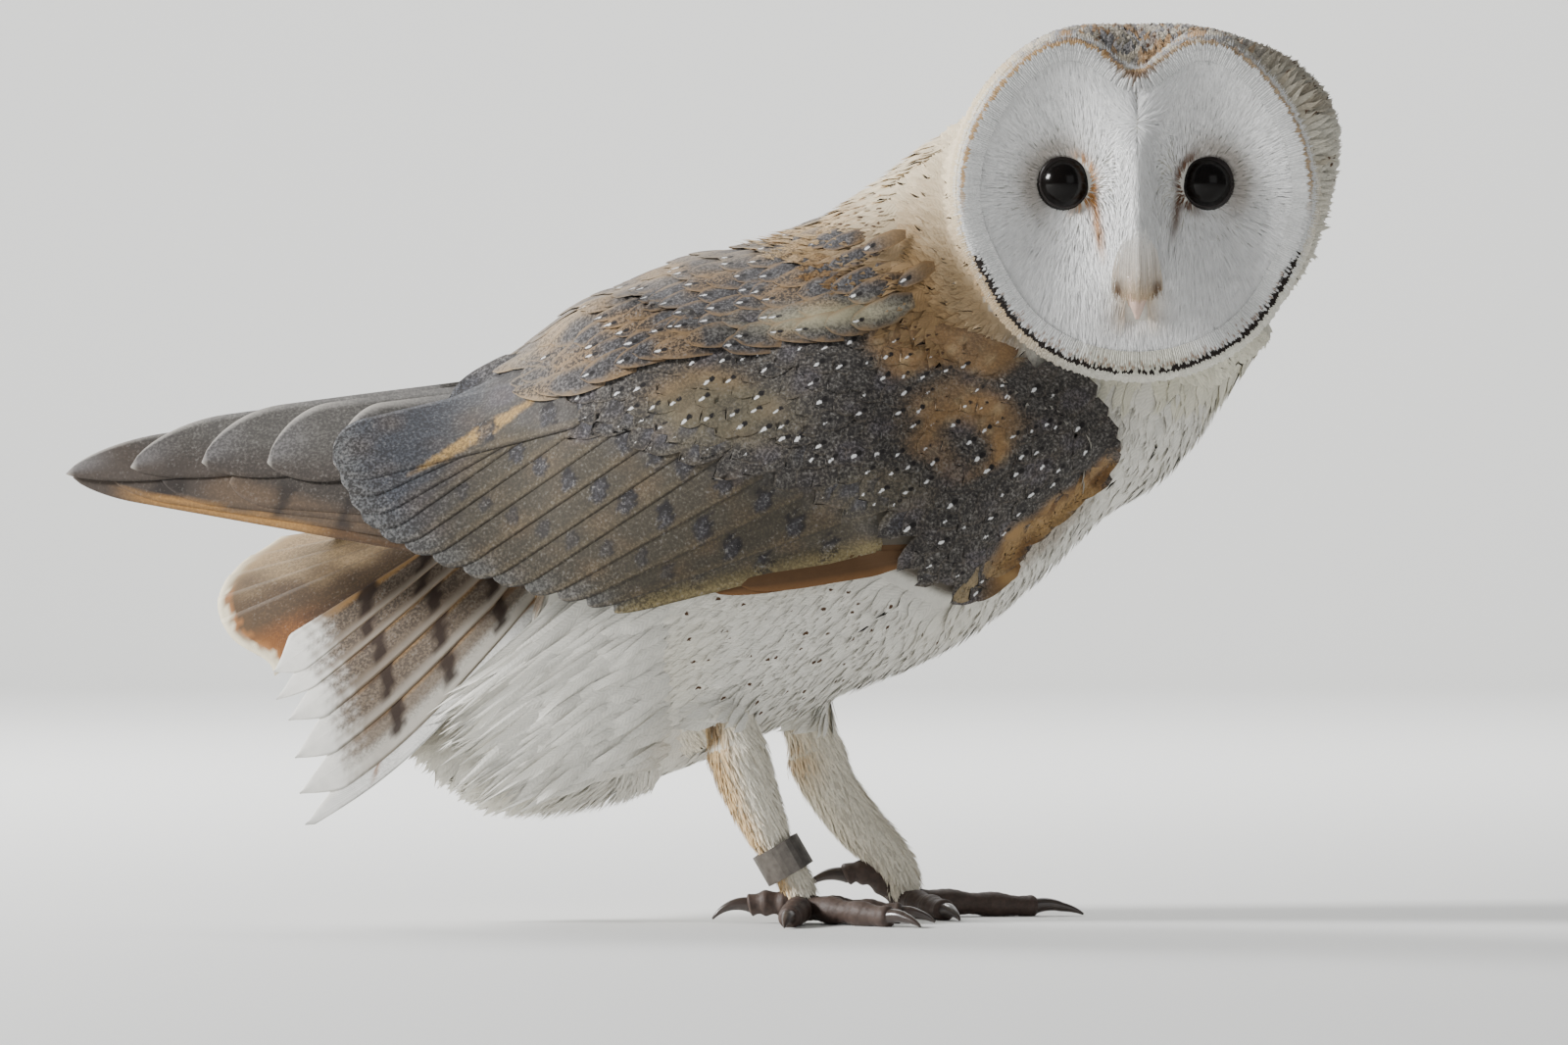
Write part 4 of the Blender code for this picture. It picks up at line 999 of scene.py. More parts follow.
# Stiffer bristles at the foot of the ridge hide the bill down to its tip.
BRISTLE_WHITE, BRISTLE_TAN = (0.93, 0.92, 0.89), (0.60, 0.42, 0.22)
BRISTLE_SHADE, NOTCH_BROWN = (0.34, 0.22, 0.11), (0.12, 0.065, 0.035)
random = np.random.default_rng(43)
count = 1500
x, z = random.normal(0, 2.8, count), random.uniform(-23.5, -7.0, count)
x = np.where(np.abs(x) > 5.6, 0.4 * x, x) * (0.45 + 0.55 * ramp(-z, 8, 17))
root = at_head(x, face_y(x, z) + 0.6, z)
hem = -28.0 + 0.055 * x**2 + random.normal(0, 1.0, count)
long = (z - hem).clip(2.5, 10.5)[:, None, None]
x, z = x[:, None, None], z[:, None, None]
tip = np.linspace(0, 1, 6)[None, :, None]
run = tip * long
across = np.linspace(-0.5, 0.5, 2) * 0.42 * (1 - 0.75 * tip)
stand = -0.7 + 1.6 * ramp(-z, 7, 15) + 0.16 * run - 0.006 * run**2 + 0.35 * random.random((count, 1, 1))
stand = (stand + 0.9 * ramp(run - z, 20, 26)) * (1 - 0.055 * np.abs(x)) + 0 * across
spread = across + 0.055 * x * run * (1 - 0.05 * run)
points = root[:, None, None] + np.stack([spread, -stand, 0 * across - run], -1)
warm = ramp(-z, 8, 20) * (0.35 + 0.65 * tip) + 0 * across
base = mixed(BRISTLE_WHITE, BRISTLE_TAN, 0.85 * warm)
notch = bell(np.abs(x) - 4.3, 1.1) * ramp(HEAD_CENTRE[1] - points[..., 2], 22.5, 25)
base = mixed(base, NOTCH_BROWN, 0.85 * notch)
# Painted shade: about three in ten bristles on the side of positive x are darkened brown towards the bill.
brown = (random.random((count, 1, 1)) < 0.3) * ramp(x, -3.5, 1.0)
base = mixed(base, BRISTLE_SHADE, 0.6 * brown * warm) * random.normal(1, 0.13, (count, 1, 1, 1))
coat_piece("bill_bristles", points, base, 0.0, over_skin(root)[1], hair_material)

# The lids: a thin dark rim of bare skin round each eye, thicker above and behind.

LID_INSET, LID_AHEAD, LID_THICK, LID_SWELL = 1.45, 3.9, 0.55, 0.55


def lid_shell(side):
    """A ring round the eye, in front of its middle. Its tube swells by a bell over the angle at the
    upper outer corner."""
    turn = np.linspace(0, 2 * np.pi, 72)
    tubes = np.linspace(0, 2 * np.pi, 12, endpoint=False)
    thick = LID_THICK + LID_SWELL * bump(np.degrees(turn), 50, 34.0)
    ring = EYE_RADIUS - LID_INSET + thick[:, None] * np.cos(tubes)
    depth = EYE_Y - LID_AHEAD - thick[:, None] * np.sin(tubes)
    x = side * (EYE_SPACING / 2 + ring * np.cos(turn)[:, None])
    return at_head(x, depth, EYE_RISE + ring * np.sin(turn)[:, None])


def plain_material(name, colour, roughness, noise_scale, contrast, bump_height=0.0, **sockets):
    """A finish with soft blotches at one scale, which multiply its colour by 1 plus or minus the
    contrast, and a matching fine relief. Names of other sockets have _ for each space."""
    made = material(name, Roughness=roughness, **sockets)
    tree = made.node_tree
    shader = tree.nodes["Principled BSDF"]
    place = link(tree, "ShaderNodeTexCoord", out=3)
    blotch = link(tree, "ShaderNodeTexNoise", place, None, noise_scale, 4.0, 0.6)
    tone = maths(tree, "MULTIPLY_ADD", blotch, 2 * contrast, 1 - contrast)
    tint = link(tree, "ShaderNodeCombineColor", tone, tone, tone)
    tree.links.new(blended(tree, 1.0, (*colour, 1), tint, "MULTIPLY"), shader.inputs["Base Color"])
    if bump_height:
        tree.links.new(link(tree, "ShaderNodeBump", 0.5, bump_height, None, blotch), shader.inputs["Normal"])
    return made


def shell_piece(name, rings, finish, replaced=None):
    """One closed shell as a piece of its own that stays with the body."""
    made = placed(joined([rings], name), name, finish)
    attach(made, "root")
    if replaced:
        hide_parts(replaced)


lid_material = plain_material("dark lid skin", (0.011, 0.007, 0.006), 0.4, 900.0, 0.3, 0.0002,
                              Specular_IOR_Level=0.3)
eye_material = plain_material("wet black eye", (0.004, 0.003, 0.0025), 0.15, 300.0, 0.4,
                              Specular_IOR_Level=0.18)
for side, name in ((-1, "right"), (1, "left")):
    shell_piece("eyelid_" + name, lid_shell(side), lid_material)
    down = np.linspace(0.02, np.pi - 0.02, 34)[:, None]
    turn = np.linspace(0, 2 * np.pi, 56, endpoint=False)
    ball = np.stack(np.broadcast_arrays(
        np.sin(down) * np.cos(turn), np.cos(down), np.sin(down) * np.sin(turn)), -1)
    bulge = 1 + 0.05 * bell(np.pi - down, 0.75)[..., None]
    rings = at_head(side * EYE_SPACING / 2, EYE_Y, EYE_RISE) + (EYE_RADIUS - 0.15) * ball * bulge
    shell_piece("eye_ball_" + name, rings, eye_material, "eye_" + name)

# The rim of the disc: close-set short stiff feathers in rings, golden above, dark brown below.


def round_the_disc(spacing, seed):
    """Angles of places evenly spaced along the disc's rim, each moved a little: the length of the
    rim is added up in small steps and read back at even lengths."""
    fine = np.linspace(-180, 180, 2001)
    edge = disc_edge(fine)
    rim = np.stack([edge * np.sin(np.radians(fine)), edge * np.cos(np.radians(fine))], -1)
    run = np.concatenate([[0], np.cumsum(np.linalg.norm(np.diff(rim, axis=0), axis=1))])
    count = int(run[-1] / spacing)
    moved = np.random.default_rng(seed).uniform(-0.3, 0.3, count)
    return np.interp((np.arange(count) + moved) * spacing, run, fine)


# Rows of the rim from the inside out: how far inside it each stands, its feathers' length and
# width, and how far back they lean.
RIM_ROWS = ((5.2, 3.6, 1.0, 0.0), (3.6, 3.2, 1.0, 0.0), (2.2, 2.5, 0.95, 0.1), (0.9, 2.1, 1.0, 0.5),
            (-0.2, 2.9, 1.2, 1.3), (-1.4, 3.8, 1.6, 2.4))
RIM_WHITE, RIM_YELLOWISH, RIM_CREAM = (0.66, 0.66, 0.65), (0.60, 0.585, 0.50), (0.80, 0.77, 0.68)
RIM_GOLD_RIGHT, RIM_GOLD_LEFT, RIM_NOTCH_GOLD = (0.56, 0.33, 0.12), (0.40, 0.27, 0.14), (0.20, 0.10, 0.04)
RIM_TICK = (0.20, 0.11, 0.06)

rim_parts = []
for row, (inset, long, wide, back) in enumerate(RIM_ROWS):
    random = np.random.default_rng(60 + row)
    angle = round_the_disc(0.62, 160 + row)
    count = len(angle)
    edge = disc_edge(angle)
    slope = (disc_edge(angle + 0.5) - disc_edge(angle - 0.5)) / np.radians(1.0)
    sine, cosine = np.sin(np.radians(angle)), np.cos(np.radians(angle))
    radial = np.stack([sine, 0 * sine, cosine], -1)
    square = unit(radial - np.stack([cosine, 0 * sine, -sine], -1) * (slope / edge)[:, None])
    x, z = np.stack([sine, cosine]) * edge - inset * square[:, (0, 2)].T
    y = np.where(inset > 0.5, face_y(x, z), RIM_Y + 0.5 - 0.9 * inset) - 0.1
    root = at_head(x, y, z)
    lie = unit(square + np.array([0, back, 0]))
    outward = unit(np.array([0, -1.0, 0]) + (0.25 + back) * square)
    size = random.uniform(0.8, 1.2, count)[:, None, None]
    s, t = vane_grid(5, 3)
    outward = along_skin(outward, lie)
    aside = t * vane_outline(s, 0.6, 0.5, least=0.01, widening=0.8) * wide * size / 2
    points = laid_out(root, (lie, s * long * size), (np.cross(outward, lie), aside),
                      (outward, 0.15 + 0.35 * s - 0.15 * t**2))
    lot = random.random((count, 1, 1))
    away, sine = np.abs(angle)[:, None, None], sine[:, None, None]
    dark = ramp(away, 106, 120) * (1 - 0.65 * ramp(away, 164, 174))
    gold = ramp(-away, -100, -84)
    golden = np.where((angle < 0)[:, None, None, None], RIM_GOLD_RIGHT, RIM_GOLD_LEFT)
    golden = mixed(golden, RIM_NOTCH_GOLD, 0.9 * bell(away, 11.0))
    of_crown = plumage_at(root + (0, 4, 0))[0][:, None, None]
    base = mixed(RIM_WHITE, RIM_YELLOWISH, ramp(away, 150, 170))
    if row < 2:
        ticked = (lot < (0.55 if row else 0.22) * ramp(away, 112, 135)) & (s > 0.6) & (t == 0)
        base = np.where(ticked[..., None], RIM_TICK, base)
        base = mixed(base, golden, 0.7 * row * bell(away, 9.0))
    elif row == 2:
        base = mixed(base, golden, 0.85 * gold)
        base = mixed(base, NEAR_BLACK, (lot < 0.6 * dark) * ramp(s, 0.3, 0.6))
    elif row == 3:
        base = mixed(base, of_crown, ramp(-away, -50, -26))
        base = mixed(base, golden, 0.8 * gold * ramp(-s, -0.7, -0.35))
        base = mixed(base, NEAR_BLACK, lot < 2.0 * dark)
    else:
        above = mixed((0.66, 0.54, 0.36), (0.64, 0.58, 0.47), ramp(sine, -0.3, 0.3))
        below = mixed((0.42, 0.32, 0.20), (0.68, 0.66, 0.58), ramp(sine, -0.75, -0.25))
        base = mixed(above, below, ramp(away, 90, 120))
        base = mixed(base, RIM_CREAM, (row == 4) * 0.6 * gold * ramp(away, 26, 50))
        base = mixed(base, of_crown, ramp(-away, -62, -34))
    base = base * random.normal(1, 0.05, (count, 1, 1, 1)).clip(0.85, 1.15)
    rim_parts.append((points, np.broadcast_to(base, points.shape), over_skin(root)[1]))
points, base, unwrap = (np.concatenate([part[k] for part in rim_parts]) for k in range(3))
coat_piece("disc_rim_feathers", points, base, 0.0, unwrap, feather_material)

# The rest of the head: small feathers that run back over crown and ears and down the nape.


def is_crown(place):
    """The head without the facial disc."""
    angle = np.degrees(np.arctan2(*from_head(place)))
    disc = head_distance(place) < disc_edge(angle) - 0.5
    return on_head(place) & ~(disc & (place[:, 1] < -37))


root, out, unwrap = scattered(1.6, 71, is_crown)
hx, hz = from_head(root)
far = np.maximum(head_distance(root), 1)
front = ramp(-root[:, 1], 15, 40)
downwards = 0.9 * ramp(root[:, 1], -12, 18)
lie = np.stack([0.35 * hx / far, 0.9 + 0 * far, 0.35 * hz / far - downwards], -1)
ruff = ramp(hx, 22, 38) * ramp(hz, -45, -10)
lie += (0.8 * front * ruff)[:, None] * np.stack([hx / far, -0.4 + 0 * far, hz / far], -1)
size = np.random.default_rng(72).uniform(0.8, 1.25, len(root))
long = (7.5 - 2.6 * front + 1.6 * ruff) * size
wide = (3.0 - 1.0 * front - 0.5 * ruff) * size
points = vanes(root, lie, out, long, wide, base=-0.2, above=0.9 + 0.5 * ruff, free=0.7 * ruff, frayed=0.3,
               blunt=0.6, seed=73, sway=0.15)
dots = 0.09 * ramp(hx, 20, 34) * ramp(hz, -20, 0) + 0.06 * ramp(hz, 20, 30)
# The crown's feathers are painted 0.15 lighter at the tips than at the roots: painted shade under the
# overlapping feathers.
base, marks = coloured(root, 74, 5, 3, dots, painted_root_shade=0.15)
coat_piece("crown_and_nape_feathers", points, base, marks, unwrap, feather_material)

# ---- Back ----
# The mantle and shoulder feathers: long rounded vanes in staggered rows over the back and the
# wings' upper edges. Each is peppered grey with a golden border, and many end in a pearl.

MANTLE_FRONT, MANTLE_SLANT = 71, 37  # how far forward it reaches below, and how much less at the top


def mantle_at(x, share):
    """Surface over trunk and wings: share is 0 along its lower edge on the wing and 1 at the middle
    of the back. Its height is the edge's and a power curve up to the top's, which rises fast and
    then levels, and it stands as far out as the wing, the upper wing or the trunk, whichever is
    furthest."""
    top, edge = smooth(MANTLE_TOP, x), smooth(MANTLE_EDGE, x)
    left = np.clip(1 - share, 0, 1.4)
    z = edge + (top - edge) * (1 - left**1.6)
    from_wing = (wing_depth(x, np.minimum(z, edge)) + 0.7) * np.minimum(left, 1) ** 0.96
    upper, under = smooth(BACK_LINE, x), smooth(BELLY_LINE, x)
    from_axis = (z - (upper + under) / 2) / np.maximum((upper - under) / 2, 5)
    trunk = smooth(BODY_HALF_WIDTHS, x) * np.sqrt(np.clip(1 - from_axis**2, 0, 1))
    # Behind the shoulder it also clears the wing's upper part, and falls to the back from there.
    on_wing = np.minimum(z, smooth(WING_UPPER, x) - 0.5)
    over = np.clip((z - on_wing) / np.maximum(top - on_wing, 1), 0, 1)
    upper_wing = (wing_depth(x, on_wing) + 0.9) * (1 - over) ** 1.2 * ramp(-x, -60, -10)
    return np.stack([x, np.maximum(np.maximum(from_wing, upper_wing), trunk + 0.4), z], -1)


def mantle_normal(x, share):
    """Outward direction of that surface, from the cross product of its two slopes."""
    by_x = mantle_at(x + 0.6, share) - mantle_at(x - 0.6, share)
    by_share = mantle_at(x, share + 0.02) - mantle_at(x, share - 0.02)
    return unit(np.cross(by_share, by_x))


def mantle_vanes(x0, share0, heading, long, wide, rows, columns, height, lift, side):
    """Vanes wrapped on the mantle: the flat vane's place, turned to its heading, is measured off
    along the surface from its root, then raised by height and, towards the tip, by lift."""
    s, t = vane_grid(rows, columns)
    shape = vane_outline(s, 0.5, 0.5, widening=2.0)
    long, wide, height, lift = (one_each(values, len(x0)) for values in (long, wide, height, lift))
    a, b = long * s, wide / 2 * shape * t
    per_x = np.linalg.norm(mantle_at(x0 + 2, share0) - mantle_at(x0 - 2, share0), axis=-1) / 4
    higher, lower = mantle_at(x0, share0 + 0.05), mantle_at(x0, share0 - 0.05)
    per_share = np.linalg.norm(higher - lower, axis=-1) / 0.1
    cosine, sine = np.cos(heading)[:, None, None], np.sin(heading)[:, None, None]
    x = x0[:, None, None] + (a * cosine - b * sine) / per_x[:, None, None]
    along_share = (a * sine + b * cosine) / np.maximum(per_share, 12)[:, None, None]
    share = share0[:, None, None] + along_share
    # A vane at the middle of the back reaches over to the other side.
    other, share = np.where(share > 1, -1.0, 1.0), 1 - np.abs(1 - share)
    sunk = 2.6 * np.clip(1 - s, 0, 1) ** 3
    rise = height - sunk + lift * s - 0.15 * t**2 * shape
    points = mantle_at(x, share) + mantle_normal(x, share) * rise[..., None]
    points[..., 1] *= side * other
    return points, s, t


def atlas(count):
    """Middles of equal square cells, one for each vane, in rows over the whole bake map, and the
    side of the square that a vane fills in its cell."""
    across = int(np.ceil(np.sqrt(count)))
    index = np.arange(count)
    return np.stack([index % across + 0.5, index // across + 0.5], -1) / across, 0.94 / across


vane_material = plumage_material("patterned vanes", 150.0, roughness=0.75)


def patterned(name, points, base, marks, slot="buff_and_grey_plumage"):
    """A piece of patterned vanes, each of which fills its own cell of the bake map."""
    unwrap, patch = atlas(len(points))
    return coat_piece(name, points, base, marks, unwrap, vane_material, patch)


MANTLE_GREY, MANTLE_GOLD = (0.088, 0.084, 0.088), (0.26, 0.165, 0.08)
REAR_BUFF, STREAK_BUFF, FRONT_GOLD = (0.30, 0.235, 0.155), (0.44, 0.40, 0.26), (0.30, 0.195, 0.095)
EDGE_GOLD, EDGE_BUFF, SUNLIT_CREST_BUFF = (0.28, 0.175, 0.08), (0.44, 0.33, 0.19), (0.50, 0.39, 0.26)
back_parts = []
for side in (-1, 1):
    random = np.random.default_rng(81)
    row, column = np.meshgrid(np.arange(24), np.arange(9), indexing="ij")
    x0 = 74 - 7.2 * row + 3.6 * (column % 2) + random.normal(0, 0.9, row.shape)
    share0 = 0.02 + 0.118 * column + random.normal(0, 0.014, row.shape)
    x0, share0 = x0.ravel(), share0.ravel()
    front_line = MANTLE_FRONT - MANTLE_SLANT * share0
    rear_line = -39 - 12 * ramp(share0, 0.35, 0.7)
    keep = (x0 < front_line + random.normal(0, 2, x0.shape)) & (x0 > rear_line) & (share0 < 1.02)
    x0, share0 = x0[keep], share0[keep]
    order = np.argsort(x0)
    x0, share0 = x0[order], share0[order]
    n = len(x0)
    heading = np.pi + np.radians(7) * (1 - share0) + random.normal(0, 0.05, n)
    rear = ramp(-x0, 5, 45)
    foremost = ramp(x0 - (MANTLE_FRONT - MANTLE_SLANT * share0), -16, -3)
    long = random.uniform(19, 25, n) * (1 - 0.42 * foremost)
    wide = random.uniform(9, 11.5, n) * (1 - 0.2 * rear) * (1 - 0.40 * foremost)
    lowest = ramp(-share0, -0.16, -0.04)
    height = 0.1 * (side < 0) - 0.2 + 0.4 * lowest
    points, s, t = mantle_vanes(x0, share0, heading, long, wide, 12, 9, height, 0.9 + 0.7 * lowest, side)
    rear = rear[:, None, None]
    x, _, z = np.moveaxis(points, -1, 0)
    wave = ripple(points, 8.0, 2.0)
    streak = bell(x - 36, 22) * bell(z - (163.5 + 0.1 * x), 3.6)
    front = ramp(x - (62 - 0.9 * (z - 178)), -12, 3)
    crest = ramp(z - smooth(MANTLE_TOP, x), -9, -1)
    base = mixed(MANTLE_GREY, MANTLE_GOLD, 0.8 * ramp(wave, 0.0, 0.6))
    base = mixed(base, REAR_BUFF, (0.3 + 0.25 * wave) * rear)
    base = mixed(base, STREAK_BUFF, 0.9 * streak)
    base = mixed(base, FRONT_GOLD, 0.85 * front)
    at_end = 0.5 * np.clip(s - 0.75, 0, 1)
    border = ramp(np.abs(t) + at_end + 0.2 * ripple(points, 1.6), 0.55, 1.05)
    # Painted sunlight along the top of the back: towards the crest the borders turn buff, a lighter buff is
    # laid on and the peppering thins.
    edge = mixed(EDGE_GOLD, EDGE_BUFF, np.maximum(crest, rear * 0.8))
    base = mixed(base, edge, border * (0.7 - 0.42 * np.maximum(crest, rear)))
    base = mixed(base, SUNLIT_CREST_BUFF, (0.3 + 0.2 * ripple(points, 5.0, 1.0)) * crest)
    pepper = (1 - border) * (1 - 0.85 * streak) * (1 - 0.8 * front) * (1 - 0.45 * crest) * 0.9
    plain_top = ramp(share0, 0.6, 0.8) * ramp(-x0, -10, 10)
    pearled = random.random(n) < 0.62 * (1 - rear[:, 0, 0]) * (1 - 0.8 * plain_top)
    marks = feather_marks(points, pepper, pearled[:, None, None] * 0.9)
    turned = slice(None, None, -1) if side > 0 else slice(None)
    back_parts.append((points[:, :, turned], base[:, :, turned], marks[:, :, turned]))
patterned("mantle_feathers", *(np.concatenate([part[k] for part in back_parts]) for k in range(3)))

# ---- Wings ----
# Each folded wing, from the bottom layer up: the flight feathers of the hand, stacked so that five
# tips show, those of the arm, then rows of coverts with pearls. Seen from the side, every feather
# lies on the wing's own curved outer face, and each layer stands a little over the one below.


def headed(degrees):
    """Unit directions (along, up) at angles in degrees: the cosine and the sine."""
    return np.stack([np.cos(np.radians(degrees)), np.sin(np.radians(degrees))], -1)


def wing_vanes(side, tips, heading, long, wide, rows, columns, height, lift, camber=0.12, tip=0.55,
               lean=0.0, ragged=0.0, blunt=0.5):
    """Vanes drawn flat from the side: along the heading in degrees to their tips, then laid on the
    wing's outer face and raised by height, by lift towards the tip, and less at the edges. Lean
    moves the tip towards one edge, as on flight feathers; ragged stretches the columns."""
    root = tips - np.asarray(long)[:, None] * headed(heading)
    s, t = vane_grid(rows, columns)
    shape = vane_outline(s, 0.55, tip, blunt)
    long, wide, height, lift = (one_each(values, len(root)) for values in (long, wide, height, lift))
    turn = np.radians(heading)[:, None, None]
    uneven = np.random.default_rng(7).uniform(-ragged, ragged, (len(root), 1, columns))
    a = long * s * (1 + uneven * s)
    b = wide / 2 * (shape * t + lean * (1 - shape))
    x = root[:, 0, None, None] + a * np.cos(turn) - b * np.sin(turn)
    z = root[:, 1, None, None] + a * np.sin(turn) + b * np.cos(turn)
    # Above the wing's upper edge they roll inwards, down to the shoulder.
    upper = smooth(WING_UPPER, x)
    past = np.minimum(np.maximum(z - upper + 2.0, 0), 12) * ramp(-x, -112, -92)
    stand = height + lift * s - camber * t**2 * shape - 0.10 * past**2
    y = wing_depth(x, np.minimum(z, upper - 0.3)) + stand
    points = np.stack([x, side * y, z], -1)
    s, t = np.broadcast_to(s, x.shape), np.broadcast_to(t, x.shape)
    # Across a vane the points run down the wing, so the left wing's are turned to keep faces outwards.
    return (points[:, :, ::-1] if side > 0 else points), s, (t[:, :, ::-1] if side > 0 else t)


def thickened(piece):
    """Gives a flight feather two faces, 0.3 mm apart."""
    wall = piece.modifiers.new("two_faces", "SOLIDIFY")
    wall.thickness = 0.0003
    wall.offset = -1.0


def read_line(points, at):
    """Straight lines between (place, value) points."""
    place, value = np.array(points, float).T
    return np.interp(at, place, value)


# Where the coverts' tips end over the arm's flight feathers, (x, height) from back to front.
COVERT_EDGE = ((-100, 152), (-76, 146), (-60, 141), (-46, 136), (-25, 131), (-4, 126), (5, 123), (25, 118),
               (45, 108.5), (54, 97), (66, 84), (120, 50))
OLIVE, RUSTY, RUSTY_GOLD = (0.078, 0.066, 0.047), (0.165, 0.085, 0.030), (0.33, 0.20, 0.08)
BLUE_GREY, BLUE_CLOUD = (0.080, 0.086, 0.102), (0.080, 0.084, 0.105)
WING_GOLD, WING_BUFF, WING_STREAK = (0.31, 0.18, 0.072), (0.43, 0.295, 0.145), (0.55, 0.34, 0.11)
CLOUD_OLIVE, CLOUD_TAN = (0.165, 0.14, 0.088), (0.27, 0.18, 0.085)


def patch_at(x, z, place, half, outer, inner):
    """An ellipse on the wing seen from the side: 1 inside the inner share of its half size (x,
    height), 0 beyond the outer, and a smooth step between."""
    return ramp(-np.hypot((x - place[0]) / half[0], (z - place[1]) / half[1]), -outer, -inner)


def wing_paint(x, z):
    """Colour, peppering and how strong pearls are at places on the wing seen from the side, laid
    over each other by smooth steps: grey with golden and buff clouds, olive towards the flight
    feathers, blue-grey behind, and rusty gold along the front of the lower edge."""
    flat = np.stack([x, 0 * x, z], -1)
    wave, fine = ripple(flat, 6.0, 1.0), ripple(flat, 2.3, 5.0)
    u, v = x + 3.5 * ripple(flat, 9.0, 2.0), z + 3.0 * ripple(flat, 9.0, 7.0)
    # A ring of gold near the front, thicker at the top and open below.
    from_ring = np.hypot(u - 72, (v - 133.0) * 1.15) - 11.0
    ring = bell(from_ring, 3.0 + 0.16 * (v - 123).clip(0, 20)) * ramp(v + 0.25 * (u - 72), 120, 132)
    cloud = patch_at(u, v, (5, 141.5), (23, 11.5), 1.3, 0.5)
    low_cloud = 0.5 * patch_at(u, v, (46, 118), (16, 7), 1.4, 0.5)
    shoulder = patch_at(u, v, (68, 160), (23, 10), 1.15, 0.7)
    off_streak = np.abs((z - 137.5) - 0.6 * (x + 57) + 0.5 * fine) + 1.5 * ((x + 62) / 16) ** 2
    streak = ramp(-off_streak, -2.6, -1.4)
    gold = np.clip(np.maximum.reduce([ring, 0.9 * shoulder, streak]) + 0.18 * wave, 0, 1)
    pale = np.clip(np.maximum(cloud, low_cloud) + 0.3 * wave * cloud, 0, 1)
    olive = ramp(read_line(COVERT_EDGE, x) + 4 + 2 * fine - z, 0, 7) * ramp(x, -95, -55)
    rear = ramp(-x + 0.4 * (z - 120), 58, 84)
    colour = mixed(mixed(PEPPER, BLUE_CLOUD, ramp(wave, 0.2, 0.7)), BLUE_GREY, rear)
    colour = mixed(colour, OLIVE, olive * (1 - rear))
    colour = mixed(colour, mixed(CLOUD_OLIVE, CLOUD_TAN, ramp(v - 0.3 * u, 143, 151)), 0.9 * pale)
    golden = mixed(mixed(WING_GOLD, WING_BUFF, ramp(fine, 0.1, 0.8)), WING_STREAK, streak)
    colour = mixed(colour, golden, 0.88 * gold)
    front = ramp(smooth(WING_LOWER, x) + 4.5 + 2.5 * wave - z, -2.0, 2.0) * ramp(x, 74, 84)
    colour = mixed(colour, mixed(RUSTY, RUSTY_GOLD, ramp(wave, -0.3, 0.5)), front)
    pepper = np.clip(0.95 - 0.7 * gold - 0.6 * pale - 0.85 * front - 0.5 * olive, 0.05, 1)
    return colour, pepper, np.clip(1.0 - 0.4 * gold - front - olive, 0, 1)


# Dark bars across the hand's lower feathers: x where each crosses, and half its width.
HAND_BARS = ((-146, 5.0), (-115.5, 2.8), (-98, 2.2), (-82, 2.2))
HAND_BROWN, HAND_GREY = (0.066, 0.055, 0.046), (0.115, 0.107, 0.096)
HAND_DARK, HAND_RUST, HAND_BAR = (0.068, 0.052, 0.041), (0.135, 0.090, 0.056), (0.026, 0.020, 0.017)
HAND_GLOW_ORANGE, HAND_EDGE = (0.42, 0.22, 0.065), (0.12, 0.065, 0.03)


def hand_paint(x, z):
    """Colour of the hand's feathers and how low they lie, laid over each other by smooth steps of
    the height over the lower edge: grey-brown, darker with a rusty field low down, dark bars
    there and an orange-buff edge: the feathers' buff edge, brightened to orange towards the wing
    tip as painted backlit glow."""
    flat = np.stack([x, 0 * x, z], -1)
    up = z - smooth(WING_LOWER, x)
    wave = ripple(flat, 5.0)
    low = ramp(-up - 0.10 * (x + 140), -14, -9)
    colour = mixed(HAND_BROWN, HAND_GREY, ramp(up, 11, 24))
    colour = mixed(colour, mixed(HAND_DARK, HAND_RUST, ramp(x + 6 * wave, -142, -128)), 0.85 * low)
    bars = np.zeros_like(x)
    for place, half in HAND_BARS:
        off_bar = np.abs(x - place - 0.35 * (up - 6) + 1.5 * wave)
        bars = np.maximum(bars, ramp(-off_bar, -half, -0.5 * half) * ramp(-up, -13, -9))
    colour = mixed(colour, HAND_BAR, 0.85 * bars)
    # Painted backlit glow: the buff lower edge is brightened to orange nearer the wing tip.
    edge = ramp(-up - 0.5 * wave, -1.9, -0.8) * ramp(x, -166, -150)
    return mixed(colour, mixed(HAND_GLOW_ORANGE, HAND_EDGE, ramp(x, -112, -98)), 0.85 * edge), low


# Tips of the hand's feathers (x, height), their slope in degrees, width, and length: first the
# four under the wing, then the five whose tips show.
HAND = ((-174.0, 124.8, -10.0, 11.0, 134.0), (-163.0, 124.8, -8.5, 13.0, 124.0),
        (-149.0, 125.0, -6.5, 16.0, 110.0), (-130.0, 124.5, -4.0, 18.0, 92.0),
        (-176.4, 126.1, 6.0, 13.0, 134.0), (-158.3, 128.6, 7.5, 17.0, 118.0),
        (-138.4, 130.4, 7.5, 20.0, 98.0), (-120.1, 130.6, 7.5, 22.0, 80.0), (-101.6, 130.6, 7.5, 23.0, 62.0))
# Line of the arm's tips (x, height), and their slopes in degrees at some of the 13 feathers.
ARM_TIPS = ((-24.5, 91.0), (-37.5, 92.5), (-52.0, 94.5), (-66.0, 98.3), (-80.0, 104.0), (-91.0, 110.0),
            (-97.0, 118.0), (-101.5, 128.5))
ARM_SLOPES = ((0, 14), (2, 25), (4, 33), (9, 35), (11, 25), (12, 14))
